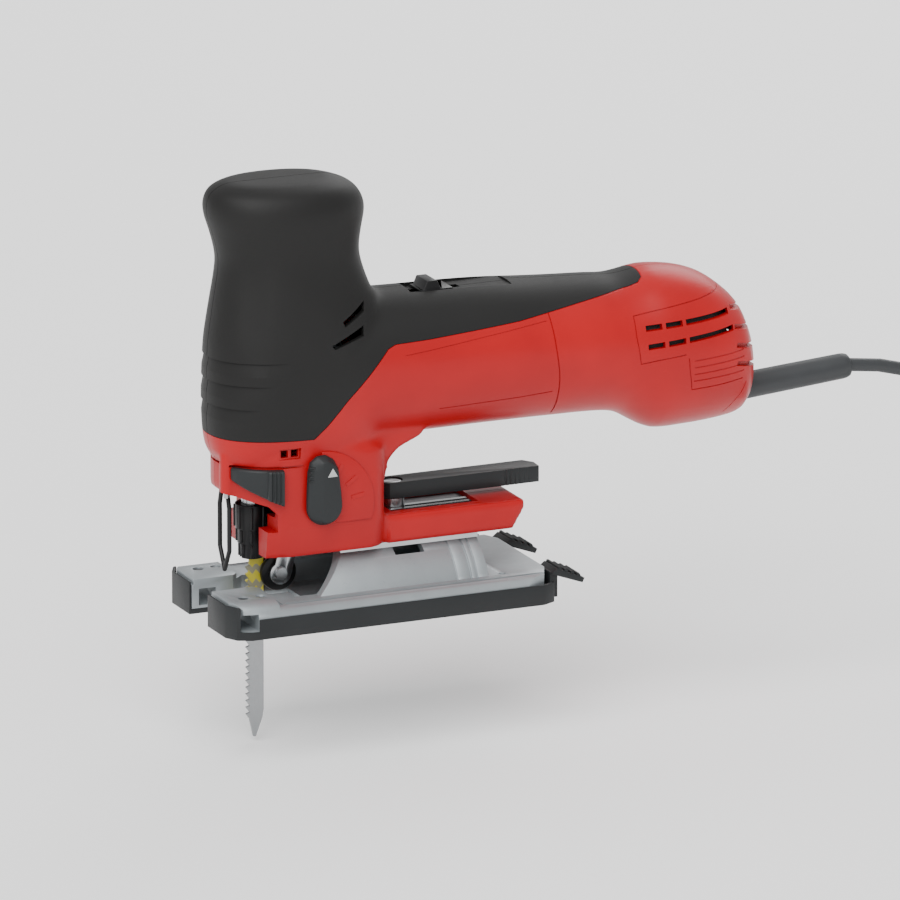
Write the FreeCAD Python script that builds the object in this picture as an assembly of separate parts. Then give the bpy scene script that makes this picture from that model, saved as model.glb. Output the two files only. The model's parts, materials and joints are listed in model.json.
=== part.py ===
"""Barrel-grip jigsaw, modelled as an assembly of separate pieces, one STEP file per node.

Frame: millimetres, +X towards the cord, +Y towards the right-hand side, +Z up.
The origin lies on the underside of the sole, below the plunger axis, in the blade plane.
"""
import FreeCAD, Part
import math
import os
from FreeCAD import Vector

# ---- driving dimensions (mm) ----------------------------------------------------------------

SOLE_WIDTH = 77.0
SOLE_FRONT = -25.0
SOLE_REAR = 129.0
SHOE_FLOOR = 2.4
SHOE_RIM = 8.9
DECK_TOP = 13.0
PRONG_TOP = 15.4
BLADE_SLOT = 20.0

HUB_RADIUS = 31.3
HUB_FRONT = 34.0
HUB_REAR = 99.0
SADDLE_THICK = 2.7
TILT_LIMIT = 30.0

WALL = 2.8
GRIP_SKIN = 1.3
HALF_GAP = 0.02
RUN_GAP = 0.05
BODY_GAP = 0.35

STROKE = 26.0
PLUNGER_RADIUS = 4.5
PLUNGER_LOW = 48.0
PLUNGER_TOP = 160.0
CLAMP_BOTTOM = 26.0

MOTOR_Z = 105.0
GEAR_Z = 129.0
GEAR_TEETH = 50
PINION_TEETH = 10
GEAR_FRONT = 14.0
GEAR_WIDTH = 8.0
SHAFT_RADIUS = 4.0

ROLLER_X = 11.3
ROLLER_Z = 18.3
ROLLER_RADIUS = 8.1
FORK_PIVOT_X = 18.0
FORK_PIVOT_Z = 42.0

LEVER_PIN_X = -15.5
LEVER_PIN_Y = -8.9
LEVER_PIN_RADIUS = 1.1
GUARD_X = -12.6

SELECTOR_X = 22.5
SELECTOR_Z = 52.0
BOLT_X = 66.0
BOLT_RADIUS = 3.0
FOOT_TOP = 42.6
FOOT_BOTTOM = 29.9
FOOT_HALF = 19.5

SWITCH_FLOOR = 136.2

CORD_DIAMETER = 6.0
SLEEVE_Z = 78.0
SLEEVE_START = 222.0
SLEEVE_END = 284.0
SLEEVE_END_Z = 80.2
REST_LEVEL = -57.0

# horizontal sections of the knob and column: height, centre x, half length, half width, squareness
COLUMN_SECTIONS = [
    (71.0, 21.0, 37.2, 23.0, 2.6),
    (76.0, 20.0, 39.2, 24.0, 2.5),
    (84.0, 20.0, 40.6, 26.2, 2.4),
    (100.0, 20.0, 41.0, 28.4, 2.3),
    (122.0, 20.6, 41.0, 28.0, 2.2),
    (131.0, 20.2, 39.4, 27.0, 2.2),
    (144.0, 18.2, 35.4, 25.4, 2.1),
    (152.0, 17.4, 33.2, 24.4, 2.1),
    (160.0, 16.8, 31.9, 24.0, 2.1),
    (171.0, 16.2, 33.8, 25.0, 2.1),
    (179.0, 15.6, 35.8, 26.0, 2.1),
    (185.0, 14.4, 35.0, 25.2, 2.1),
    (190.0, 13.0, 31.2, 21.8, 2.1),
    (193.2, 11.5, 23.0, 14.5, 2.1),
]

# vertical sections of the barrel: x, centre height, half height, half width
BARREL_SECTIONS = [
    (24.0, 107.5, 31.0, 27.6),
    (45.0, 107.2, 32.4, 29.0),
    (75.0, 106.9, 32.0, 30.2),
    (105.0, 106.6, 31.5, 30.6),
    (136.0, 105.4, 30.5, 30.0),
    (160.0, 104.4, 30.1, 29.6),
    (169.0, 103.2, 30.6, 30.0),
    (177.0, 101.4, 33.4, 31.0),
    (185.0, 100.1, 36.0, 32.2),
    (200.0, 99.2, 35.2, 32.2),
    (211.0, 97.6, 33.0, 30.6),
    (219.0, 95.2, 29.8, 27.8),
    (226.0, 92.4, 25.6, 23.6),
    (230.0, 90.0, 19.6, 18.0),
]

# side outline of the soft grip: x and height of its border, front bottom first
GRIP_BORDER = [
    (-40.0, 83.6),
    (-10.0, 82.9),
    (18.5, 82.4),
    (24.4, 88.0),
    (53.6, 120.4),
    (71.5, 121.4),
    (115.0, 124.4),
    (145.0, 128.0),
    (168.0, 131.0),
    (173.0, 135.0),
    (173.0, 150.0),
    (120.0, 210.0),
    (-40.0, 210.0),
]


# ---- shape helpers --------------------------------------------------------------------------

def box(x0, x1, y0, y1, z0, z1):
    return Part.makeBox(x1 - x0, y1 - y0, z1 - z0, Vector(x0, y0, z0))


def rod(base, direction, radius, length):
    return Part.makeCylinder(radius, length, Vector(*base), Vector(*direction))


def rod_x(x0, x1, y, z, radius):
    return rod((x0, y, z), (1, 0, 0), radius, x1 - x0)


def rod_y(y0, y1, x, z, radius):
    return rod((x, y0, z), (0, 1, 0), radius, y1 - y0)


def rod_z(z0, z1, x, y, radius):
    return rod((x, y, z0), (0, 0, 1), radius, z1 - z0)


def ring_x(x0, x1, y, z, outer, inner):
    return rod_x(x0, x1, y, z, outer).cut(rod_x(x0 - 1, x1 + 1, y, z, inner))


def ring_z(z0, z1, x, y, outer, inner):
    return rod_z(z0, z1, x, y, outer).cut(rod_z(z0 - 1, z1 + 1, x, y, inner))


def fuse(shapes):
    shapes = list(shapes)
    joined = shapes[0]
    if len(shapes) > 1:
        joined = joined.multiFuse(shapes[1:])
    return joined.removeSplitter()


def group(shapes):
    return Part.makeCompound(list(shapes))


def prism(points, y0, y1):
    """A side outline of (x, z) points, drawn out across the tool from y0 to y1."""
    corners = [Vector(x, y0, z) for x, z in points]
    face = Part.Face(Part.makePolygon(corners + corners[:1]))
    return face.extrude(Vector(0, y1 - y0, 0))


def cross_prism(points, x0, x1):
    """A cross outline of (y, z) points, drawn out along the tool from x0 to x1."""
    corners = [Vector(x0, y, z) for y, z in points]
    face = Part.Face(Part.makePolygon(corners + corners[:1]))
    return face.extrude(Vector(x1 - x0, 0, 0))


def plan_prism(points, z0, z1):
    """A plan outline of (x, y) points, drawn up from z0 to z1."""
    corners = [Vector(x, y, z0) for x, y in points]
    face = Part.Face(Part.makePolygon(corners + corners[:1]))
    return face.extrude(Vector(0, 0, z1 - z0))


def oval(half_a, half_b, squareness, count=24):
    """Points of a rounded oval; squareness 2 is an ellipse, more is boxier."""
    points = []
    for step in range(count):
        angle = 2 * math.pi * step / count
        c = math.cos(angle)
        s = math.sin(angle)
        a = half_a * math.copysign(abs(c) ** (2 / squareness), c)
        b = half_b * math.copysign(abs(s) ** (2 / squareness), s)
        points.append((a, b))
    return points


def closed_curve(points):
    curve = Part.BSplineCurve()
    curve.interpolate(points, PeriodicFlag=True)
    return Part.Wire(curve.toShape())


def rounded_edges(shape, radius, picks):
    """Fillet the edges of a shape whose middle point satisfies the test."""
    edges = [e for e in shape.Edges if picks(e.CenterOfMass, e)]
    return shape.makeFillet(radius, edges)


# ---- housing --------------------------------------------------------------------------------

def column_form(inset):
    """Knob and column, drawn in from the outer skin by inset."""
    wires = []
    for z, xc, a, b, squareness in COLUMN_SECTIONS:
        height = z
        if z > 180:
            height = z - inset * (z - 180) / 13.0
        ring = oval(a - inset, b - inset, squareness)
        wires.append(closed_curve([Vector(xc + p, q, height) for p, q in ring]))
    return Part.makeLoft(wires, True)


def barrel_form(inset):
    wires = []
    for x, zc, c, b in BARREL_SECTIONS:
        place = x
        if x > 220:
            place = x - inset * (x - 220) / 13.0
        ring = oval(b - inset, c - inset, 2.1)
        wires.append(closed_curve([Vector(place, p, zc + q) for p, q in ring]))
    return Part.makeLoft(wires, True)


def nose_form(inset):
    """Gear block below the column, with its round nose."""
    a = 25.3 - inset
    b = 24.0 - inset
    front = Part.Face(closed_curve([Vector(10 + p, q, 0) for p, q in oval(a, b, 2.0)]))
    nose = front.extrude(Vector(0, 0, 72.0 - FOOT_BOTTOM - inset))
    nose.translate(Vector(0, 0, FOOT_BOTTOM + inset))
    rear = box(10, 54.5 - inset, -b, b, FOOT_BOTTOM + inset, 76.0)
    rear = rounded_edges(rear, 9.0 - inset, lambda c, e: c.x > 50 and abs(c.y) > b - 1 and 50 < c.z < 60)
    web = prism([(48.0, 58.0), (54.5 - inset, 58.0), (57.0 - inset, 66.0), (62.0 - inset, 71.5),
                 (72.0 - inset, 76.0), (72.0 - inset, 80.0), (48.0, 80.0)], -b + 8.0, b - 8.0)
    return fuse([nose, rear, web])


def foot_form(inset):
    b = FOOT_HALF - inset
    profile = [
        (20.0, FOOT_BOTTOM + inset),
        (115.0 - inset, FOOT_BOTTOM + inset),
        (120.5 - inset, FOOT_TOP - 3.5),
        (120.5 - inset, FOOT_TOP - inset),
        (20.0, FOOT_TOP - inset),
    ]
    foot = prism(profile, -b, b)
    if inset == 0:
        foot = rounded_edges(foot, 2.5, lambda c, e: abs(c.y) > b - 0.1 and c.z > FOOT_TOP - 0.1)
    return foot


def outer_form(inset):
    return fuse([column_form(inset), barrel_form(inset), nose_form(inset), foot_form(inset)])


def nose_openings():
    """Space in front of and inside the nose for the blade clamp and its stroke."""
    below_visor = [
        (-30.0, 62.5),
        (-1.0, 53.5),
        (2.6, 50.0),
        (2.6, 42.0),
        (-1.5, 42.0),
        (-1.5, 20.0),
        (-30.0, 20.0),
    ]
    chamber = rod_z(20.0, 78.5, 0, 0, 11.5)
    chamber = chamber.fuse(box(0, 12.0, -11.5, 11.5, 20.0, 78.5))
    pendulum = box(5.0, 27.0, -8.0, 8.0, 20.0, 52.0)
    return [prism(below_visor, -40, 40), chamber, pendulum]


def saddle_bed():
    """Room in the foot for the arched plate that the base turns under."""
    return rod_x(23.0, 103.0, 0, 0, HUB_RADIUS + SADDLE_THICK + BODY_GAP)


def vent_cutters():
    """Rear motor vents and the two slanted vents at the back of the column."""
    cutters = []
    for z, x0, x1 in ((114.6, 176.0, 213.0), (106.8, 177.0, 214.5)):
        cutters.append(prism([(x0, z), (x1, z + 1.8), (x1, z + 4.4), (x0, z + 2.6)], -45, 45))
    for step in range(5):
        z = 91.0 - 3.2 * step
        cutters.append(prism([(196.0, z), (219.0, z + 1.2), (219.0, z + 2.4), (196.0, z + 1.2)], -45, 45))
    cutters.append(prism([(32.0, 133.0), (44.5, 140.0), (43.5, 135.6), (33.0, 130.6)], -45, 45))
    cutters.append(prism([(26.0, 123.5), (42.5, 130.0), (42.0, 125.5), (27.5, 121.6)], -45, 45))
    return cutters


def switch_recess():
    return box(71.0, 119.0, -8.5, 8.5, SWITCH_FLOOR, 150.0)


# housing screws: x, height, and how far out the underside of the head sits
HOUSING_SCREW_PLACES = [
    (44.0, 86.0, 18.5),
    (-11.0, 96.0, 16.4),
    (42.0, 172.0, 13.2),
    (-9.0, 172.0, 13.6),
    (74.0, 81.0, 14.6),
    (150.0, 82.5, 17.0),
    (184.0, 72.5, 17.0),
    (220.0, 108.0, 18.5),
    (46.0, 56.0, 18.5),
]


def inner_supports():
    """Screw bosses, motor ribs, pin bosses and the bed of the switch slide."""
    supports = [rod_y(-23.5, 23.5, x, z, 4.2) for x, z, head in HOUSING_SCREW_PLACES]
    for x in (88.0, 123.0):
        supports.append(ring_x(x, x + 3.0, 0, MOTOR_Z, 40.0, 25.5))
    for side in (-1, 1):
        y0, y1 = sorted((side * 8.4, side * 22.5))
        supports.append(rod_y(y0, y1, FORK_PIVOT_X, FORK_PIVOT_Z, 4.0))
    supports.append(rod_y(-22.5, -12.0, SELECTOR_X, SELECTOR_Z, 5.0))
    supports.append(box(67.0, 123.0, -11.0, 11.0, 133.6, 140.0))
    return fuse(supports)


def housing_forms():
    """Both clamshell halves and both halves of the soft grip."""
    outer = outer_form(0)
    under_skin = outer_form(GRIP_SKIN)
    cavity = outer_form(WALL)
    grip_zone = prism(GRIP_BORDER, -60, 60)
    bed_walls = box(28.0, 118.0, -FOOT_HALF + 1, FOOT_HALF - 1, FOOT_BOTTOM, FOOT_TOP - 1)
    cavity = cavity.cut(bed_walls)
    bosses = inner_supports().common(under_skin)
    shell = outer.cut(cavity)
    skin = outer.cut(under_skin).common(grip_zone)
    shell = shell.cut(skin)
    shell = shell.fuse(bosses)
    cutters = nose_openings() + vent_cutters()
    cutters.append(switch_recess())
    cutters.append(saddle_bed())
    cutters.append(box(60.0, 101.0, -13.0, 10.5, FOOT_TOP - 2.4, FOOT_TOP + 1))
    cutters.append(rod_z(20, 60, BOLT_X, 0, BOLT_RADIUS + 0.1))
    cutters.append(box(73.5, 87.5, -2.2, 2.2, 130.0, 150.0))
    cutters.append(box(73.5, 97.0, -2.2, 2.2, 130.0, 133.6))
    cutters.append(rod_y(-30, -9, SELECTOR_X, SELECTOR_Z, 3.2))
    cutters.append(rod_z(52.5, 70.9, LEVER_PIN_X, LEVER_PIN_Y, 4.0))
    cutters.append(rod_z(50.0, 74.0, LEVER_PIN_X, LEVER_PIN_Y, LEVER_PIN_RADIUS))
    for y in (-3.4, 3.4):
        cutters.append(rod_z(50.0, 64.0, GUARD_X, y, 1.0))
    cutters.append(rod_x(222, 240, 0, SLEEVE_Z, 6.2))
    cutters.append(rod_x(226.0, 228.2, 0, SLEEVE_Z, 8.2))
    head_holes = [rod_y(head, 60, x, z, 3.6) for x, z, head in HOUSING_SCREW_PLACES]
    for x, z, head in HOUSING_SCREW_PLACES:
        cutters.append(rod_y(-12, 60, x, z, 1.8))
    cutters.append(rod_y(-12.5, 12.5, FORK_PIVOT_X, FORK_PIVOT_Z, 2.0))
    shell = shell.cut(cutters + head_holes)
    skin = skin.cut(vent_cutters() + [switch_recess()] + head_holes)
    near = box(-60, 260, -60, -HALF_GAP, 0, 220)
    far = box(-60, 260, HALF_GAP, 60, 0, 220)
    return {
        "housing_left": biggest(shell.common(near)),
        "housing_right": biggest(shell.common(far)),
        "soft_grip_left": biggest(skin.common(near)),
        "soft_grip_right": biggest(skin.common(far)),
    }


def biggest(shape):
    return max(shape.Solids, key=lambda s: s.Volume)


def housing_screws():
    screws = []
    for x, z, head in HOUSING_SCREW_PLACES:
        screw = rod_y(-10.0, head, x, z, 1.75).fuse(rod_y(head, head + 2.4, x, z, 3.4))
        slot = box(x - 2.2, x + 2.2, head + 1.4, head + 3.0, z - 0.4, z + 0.4)
        slot = slot.fuse(box(x - 0.4, x + 0.4, head + 1.4, head + 3.0, z - 2.2, z + 2.2))
        screws.append(screw.cut(slot))
    return group(screws)


# ---- gears and plunger ----------------------------------------------------------------------

def toothed_disc(x0, x1, z, teeth, root, tip, first_angle):
    """A spur gear about the X direction, with straight-sided teeth."""
    points = []
    pitch = 2 * math.pi / teeth
    for step in range(teeth):
        middle = first_angle + step * pitch
        for share, radius in ((-0.30, root), (-0.13, tip), (0.13, tip), (0.30, root)):
            angle = middle + share * pitch
            points.append((radius * math.cos(angle), z + radius * math.sin(angle)))
    return cross_prism(points, x0, x1)


def drive_gear():
    half_tooth = math.pi / GEAR_TEETH
    disc = toothed_disc(GEAR_FRONT, GEAR_FRONT + GEAR_WIDTH, GEAR_Z, GEAR_TEETH, 18.6, 19.9,
                        -math.pi / 2 + half_tooth)
    disc = disc.fuse(rod_x(GEAR_FRONT, GEAR_FRONT + 14.0, 0, GEAR_Z, 6.5))
    disc = disc.cut(rod_x(0, 60, 0, GEAR_Z, 3.0 + RUN_GAP))
    disc = disc.cut(rod_x(0, 60, 0, GEAR_Z - STROKE / 2, 2.5))
    for angle in (45, 90, 135):
        y = 12.5 * math.cos(math.radians(angle))
        z = GEAR_Z + 12.5 * math.sin(math.radians(angle))
        disc = disc.cut(rod_x(0, 60, y, z, 3.2))
    return disc


def crank_pin():
    return rod_x(GEAR_FRONT - 2.5, GEAR_FRONT + GEAR_WIDTH, 0, GEAR_Z - STROKE / 2, 2.5)


def gear_axle():
    return rod_x(GEAR_FRONT + 1.0, 38.0, 0, GEAR_Z, 3.0)


def plunger():
    shaft = rod_z(PLUNGER_LOW, PLUNGER_TOP, 0, 0, PLUNGER_RADIUS)
    return shaft.cut(rod_z(PLUNGER_LOW - 1, PLUNGER_LOW + 8, 0, 0, 2.6))


def scotch_yoke():
    """Slotted cross bar on the plunger that the crank pin drives."""
    z = GEAR_Z - STROKE / 2
    bar = box(3.0, 10.8, -18.0, 18.0, z - 6.0, z + 6.0)
    bar = rounded_edges(bar, 3.0, lambda c, e: abs(c.y) > 17.9 and abs(c.z - z) > 5.9 and c.x < 20)
    bar = bar.cut(box(5.0, 12.0, -15.5, 15.5, z - 3.0, z + 3.0))
    collar = rod_z(z - 7.0, z + 7.0, 0, 0, 7.0)
    return fuse([bar, collar]).cut(rod_z(z - 12, z + 12, 0, 0, PLUNGER_RADIUS))


def blade_holder():
    """Steel socket at the plunger's lower end that grips the blade's shank."""
    stem = rod_z(PLUNGER_LOW - 6.0, PLUNGER_LOW + 8.0, 0, 0, 2.6)
    body = rod_z(CLAMP_BOTTOM + 1.0, PLUNGER_LOW, 0, 0, 3.6)
    slot = box(-3.75, 3.75, -0.75, 0.75, 20.0, 45.4)
    return stem.fuse(body).cut(slot)


BLADE_BACK = 5.15
BLADE_TIPS = -3.1
TOOTH_PITCH = 3.0
BLADE_TIP_Z = -55.0


def blade():
    """T-shank blade for wood, teeth towards the front."""
    points = [(-3.2, 45.0), (-3.2, 27.0), (-1.2, 25.0)]
    z = 22.0
    while z - TOOTH_PITCH > BLADE_TIP_Z + 7:
        points.append((BLADE_TIPS + 1.7, z))
        points.append((BLADE_TIPS, z - 0.6))
        z -= TOOTH_PITCH
    points.append((BLADE_TIPS + 1.7, z))
    points += [(0.3, BLADE_TIP_Z), (1.4, BLADE_TIP_Z)]
    points += [(4.4, BLADE_TIP_Z + 8.0), (BLADE_BACK, BLADE_TIP_Z + 12.0)]
    points += [(BLADE_BACK, 25.0), (3.2, 25.9), (3.2, 45.0)]
    return prism(points, -0.62, 0.62)


def clamp_collar():
    """Ribbed plastic sleeve in three tiers that releases the blade when it is turned."""
    tiers = [(39.2, 50.0, 7.2), (32.6, 39.2, 6.3), (CLAMP_BOTTOM, 32.6, 5.2)]
    solids = [rod_z(z0, z1, 0, 0, radius) for z0, z1, radius in tiers]
    for z0, z1, radius in tiers:
        for step in range(8):
            angle = math.radians(22.5 + 45 * step)
            x = radius * math.cos(angle)
            y = radius * math.sin(angle)
            solids.append(rod_z(z0 + 0.6, z1 - 0.6, x, y, 0.7))
    solids.append(box(3.0, 10.2, -4.5, 4.5, 36.0, 47.5))
    sleeve = fuse(solids)
    sleeve = sleeve.cut(rod_z(20, PLUNGER_LOW + 0.1, 0, 0, 3.6 + RUN_GAP))
    sleeve = sleeve.cut(rod_z(PLUNGER_LOW - 0.1, 60, 0, 0, PLUNGER_RADIUS + RUN_GAP))
    return sleeve.cut(box(-5.4, 6.0, -0.95, 0.95, 20.0, 26.8))


def bush_pair():
    lower = ring_z(80.0, 89.0, 0, 0, 8.0, PLUNGER_RADIUS + RUN_GAP)
    upper = ring_z(150.0, 157.0, 0, 0, 8.0, PLUNGER_RADIUS + RUN_GAP)
    return group([lower, upper])


def gear_case():
    """Cast frame that carries the plunger bushes, the gear axle and the front bearing."""
    back = box(26.5, 31.5, -19.0, 19.0, 96.0, 150.0)
    lower = box(-9.5, 31.5, -9.5, 9.5, 80.0, 89.0)
    upper = box(-9.5, 31.5, -9.5, 9.5, 150.0, 157.0)
    web = box(26.5, 31.5, -9.5, 9.5, 80.0, 157.0)
    hub = rod_x(31.5, 38.0, 0, GEAR_Z, 7.0)
    seat = rod_x(31.5, 40.0, 0, MOTOR_Z, 14.0)
    case = fuse([back, lower, upper, web, hub, seat])
    case = case.cut(rod_x(20, 39, 0, GEAR_Z, 3.0))
    case = case.cut(rod_x(26.0, 29.1, 0, GEAR_Z, 6.9))
    case = case.cut(rod_x(20, 60, 0, MOTOR_Z, 5.5))
    case = case.cut(rod_x(33.0, 60, 0, MOTOR_Z, 11.0))
    return case.cut([rod_z(70, 170, 0, 0, 8.0)])


# ---- motor ----------------------------------------------------------------------------------

def armature_shaft():
    shaft = rod_x(24.0, 181.0, 0, MOTOR_Z, SHAFT_RADIUS)
    pinion = toothed_disc(GEAR_FRONT + 0.5, 25.0, MOTOR_Z, PINION_TEETH, 3.4, 4.6, math.pi / 2)
    return shaft.fuse(pinion)


def bearing(x0, x1, outer, inner):
    race_out = ring_x(x0, x1, 0, MOTOR_Z, outer, outer - 1.8)
    race_in = ring_x(x0, x1, 0, MOTOR_Z, inner + 1.6, inner)
    middle = (outer + inner) / 2 - 0.1
    cage = ring_x(x0 + 0.8, x1 - 0.8, 0, MOTOR_Z, outer - 1.8, inner + 1.6)
    grooves = ring_x(x0 + 0.8, x0 + 1.4, 0, MOTOR_Z, middle + 0.8, middle - 0.8)
    return fuse([race_out, race_in, cage]).cut(grooves)


def cooling_fan():
    hub = ring_x(56.0, 68.0, 0, MOTOR_Z, 9.0, SHAFT_RADIUS)
    disc = ring_x(56.0, 58.0, 0, MOTOR_Z, 23.5, 8.0)
    blades = []
    for step in range(12):
        vane = box(57.5, 67.0, -0.8, 0.8, MOTOR_Z + 8.0, MOTOR_Z + 22.8)
        vane.rotate(Vector(60, 0, MOTOR_Z), Vector(1, 0, 0), 30 * step)
        blades.append(vane)
    return fuse([hub, disc] + blades)


def armature_core():
    core = ring_x(84.0, 130.0, 0, MOTOR_Z, 14.2, SHAFT_RADIUS)
    for step in range(12):
        slot = box(80.0, 134.0, -0.9, 0.9, MOTOR_Z + 9.0, MOTOR_Z + 15.5)
        slot.rotate(Vector(60, 0, MOTOR_Z), Vector(1, 0, 0), 30 * step)
        core = core.cut(slot)
    return core


def commutator():
    drum = ring_x(146.0, 160.0, 0, MOTOR_Z, 10.0, SHAFT_RADIUS)
    for step in range(18):
        slit = box(144.0, 162.0, -0.3, 0.3, MOTOR_Z + 9.1, MOTOR_Z + 11.0)
        slit.rotate(Vector(150, 0, MOTOR_Z), Vector(1, 0, 0), 20 * step)
        drum = drum.cut(slit)
    return drum


def stator_core():
    ring = ring_x(82.0, 132.0, 0, MOTOR_Z, 25.5, 19.5)
    poles = ring_x(82.0, 132.0, 0, MOTOR_Z, 20.0, 14.9)
    wedge = box(80.0, 134.0, -13.0, 13.0, MOTOR_Z - 30, MOTOR_Z + 30)
    return fuse([ring, poles.common(wedge)])


def stator_coils():
    """The two field windings, seen as ovals beyond each end of the core."""
    coils = []
    for side in (-1, 1):
        outer = box(76.0, 138.0, -17.0, 17.0, MOTOR_Z + side * 15.6 - 1.8, MOTOR_Z + side * 15.6 + 1.8)
        inner = box(82.0 - BODY_GAP, 132.0 + BODY_GAP, -19.0, 19.0, MOTOR_Z - 30, MOTOR_Z + 30)
        coils += outer.cut(inner).Solids
    return group(coils)


BRUSH_X = 153.0


def brush_holders():
    holders = []
    for side in (-1, 1):
        y0, y1 = sorted((side * 11.0, side * 23.5))
        holder = box(BRUSH_X - 5.0, BRUSH_X + 5.0, y0, y1, MOTOR_Z - 4.5, MOTOR_Z + 4.5)
        holder = holder.cut(box(BRUSH_X - 3.2, BRUSH_X + 3.2, y0 - 1, y1 + 1, MOTOR_Z - 2.7, MOTOR_Z + 2.7))
        holders.append(holder)
    return group(holders)


def carbon_brushes():
    brushes = []
    for side in (-1, 1):
        y0, y1 = sorted((side * 10.4, side * 18.0))
        brushes.append(box(BRUSH_X - 3.1, BRUSH_X + 3.1, y0, y1, MOTOR_Z - 2.6, MOTOR_Z + 2.6))
    return group(brushes)


def brush_springs():
    springs = []
    for side in (-1, 1):
        for turn in range(5):
            middle = side * (18.6 + 1.0 * turn)
            torus = Part.makeTorus(1.7, 0.45, Vector(BRUSH_X, middle, MOTOR_Z), Vector(0, 1, 0))
            springs.append(torus)
    return group(springs)


def switch_slider():
    """Ribbed thumb slide with the rod that reaches the switch."""
    floor = SWITCH_FLOOR + BODY_GAP
    plate = box(77.0, 92.0, -6.5, 6.5, floor, floor + 0.9)
    nub = prism([(78.0, floor), (80.0, 141.2), (84.6, 141.2), (87.0, floor)], -6.0, 6.0)
    stem = box(80.0, 86.0, -1.8, 1.8, 131.4, floor)
    tail = box(80.0, 96.0, -1.8, 1.8, 131.4, 133.1)
    return fuse([plate, nub, stem, tail])


def switch_module():
    body = box(186.0, 212.0, -12.0, 12.0, 92.0, 112.0)
    bump = box(183.0, 186.0, -4.0, 4.0, 97.0, 107.0)
    tabs = [box(188.0 + 8 * k, 192.0 + 8 * k, -3.0, 3.0, 84.0, 92.0) for k in range(3)]
    return fuse([body, bump] + tabs)


def rear_bearing_seat():
    seat = ring_x(171.0, 181.0, 0, MOTOR_Z, 12.5, 9.5)
    arms = [box(173.0, 180.0, -26.8, -12.0, MOTOR_Z - 3, MOTOR_Z + 3),
            box(173.0, 180.0, 12.0, 26.8, MOTOR_Z - 3, MOTOR_Z + 3)]
    return fuse([seat] + arms)


def cord_clamp():
    bar = box(213.0, 220.0, -10.5, 10.5, SLEEVE_Z - 6.6, SLEEVE_Z - 2.0)
    for y in (-8.4, 8.4):
        bar = bar.cut(rod_z(60, 90, 216.5, y, 1.6))
    return bar.cut(rod_x(200, 230, 0, SLEEVE_Z, 5.8))


# ---- nose pieces ----------------------------------------------------------------------------

def release_lever():
    """Curved lever that wraps the left side of the nose, with finger ribs at its free end."""
    thick_out = 3.4
    outline = []
    inner = []
    for step in range(9):
        angle = math.radians(196 + 8.6 * step)
        c = math.cos(angle)
        s = math.sin(angle)
        outline.append((10 + (25.3 + thick_out) * c, (24.0 + thick_out) * s))
        inner.append((10 + (25.3 + 0.4) * c, (24.0 + 0.4) * s))
    plan = outline + inner[::-1]
    blank = plan_prism(plan, 50.0, 70.6)
    keep = prism([(-20.0, 70.4), (-20.0, 63.0), (6.5, 53.4), (6.5, 70.4)], -40, 0)
    lever = blank.common(keep)
    for step in range(4):
        lever = lever.cut(rod_z(40, 80, -0.5 + 1.9 * step, -27.5, 0.55))
    return lever.cut(rod_z(40, 80, LEVER_PIN_X, LEVER_PIN_Y, LEVER_PIN_RADIUS + RUN_GAP))


def lever_pin():
    return rod_z(56.0, 73.5, LEVER_PIN_X, LEVER_PIN_Y, LEVER_PIN_RADIUS)


def wire_guard():
    """Coated wire loop in front of the blade."""
    x = GUARD_X
    corners = [(-3.4, 62.0), (-3.4, 55.8), (-5.2, 50.0), (-5.2, 31.0), (0.0, 21.6)]
    corners += [(-y, z) for y, z in corners[-2::-1]]
    solids = []
    for (y0, z0), (y1, z1) in zip(corners, corners[1:]):
        start = Vector(x, y0, z0)
        step = Vector(x, y1, z1) - start
        solids.append(Part.makeCylinder(1.0, step.Length, start, step))
        solids.append(Part.makeSphere(1.0, start))
    return fuse(solids)


def guide_roller():
    wheel = rod_y(-3.4, 3.4, ROLLER_X, ROLLER_Z, ROLLER_RADIUS)
    groove = rod_y(-0.95, 0.95, ROLLER_X, ROLLER_Z, 12.0).cut(rod_y(-2, 2, ROLLER_X, ROLLER_Z, 5.8))
    return wheel.cut(groove).cut(rod_y(-9, 9, ROLLER_X, ROLLER_Z, 2.0 + RUN_GAP))


def roller_pin():
    pin = rod_y(-6.3, 6.3, ROLLER_X, ROLLER_Z, 2.0)
    return pin.fuse(rod_y(-6.6, -5.6, ROLLER_X, ROLLER_Z, 2.6))


def roller_fork():
    """Two teardrop arms and the cross web that turns on the pivot pin."""
    pin_hole = rod_y(-20, 20, FORK_PIVOT_X, FORK_PIVOT_Z, 2.0 + RUN_GAP)
    arms = []
    for y0, y1 in ((-5.6, -3.8), (3.8, 5.6)):
        arm = rod_y(y0, y1, ROLLER_X, ROLLER_Z, 4.9)
        bar = prism([(ROLLER_X - 2.6, ROLLER_Z + 4.0), (ROLLER_X + 4.8, ROLLER_Z - 1.2),
                     (FORK_PIVOT_X + 4.2, FORK_PIVOT_Z), (FORK_PIVOT_X - 4.2, FORK_PIVOT_Z)], y0, y1)
        top = rod_y(y0, y1, FORK_PIVOT_X, FORK_PIVOT_Z, 4.2)
        arms.append(fuse([arm, bar, top]))
    web = rod_y(-5.6, 5.6, FORK_PIVOT_X, FORK_PIVOT_Z, 4.2)
    fork = fuse(arms + [web]).cut(pin_hole)
    return fork.cut(rod_y(-20, 20, ROLLER_X, ROLLER_Z, 2.0))


def pivot_pin():
    return rod_y(-12.4, 12.4, FORK_PIVOT_X, FORK_PIVOT_Z, 2.0)


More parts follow.
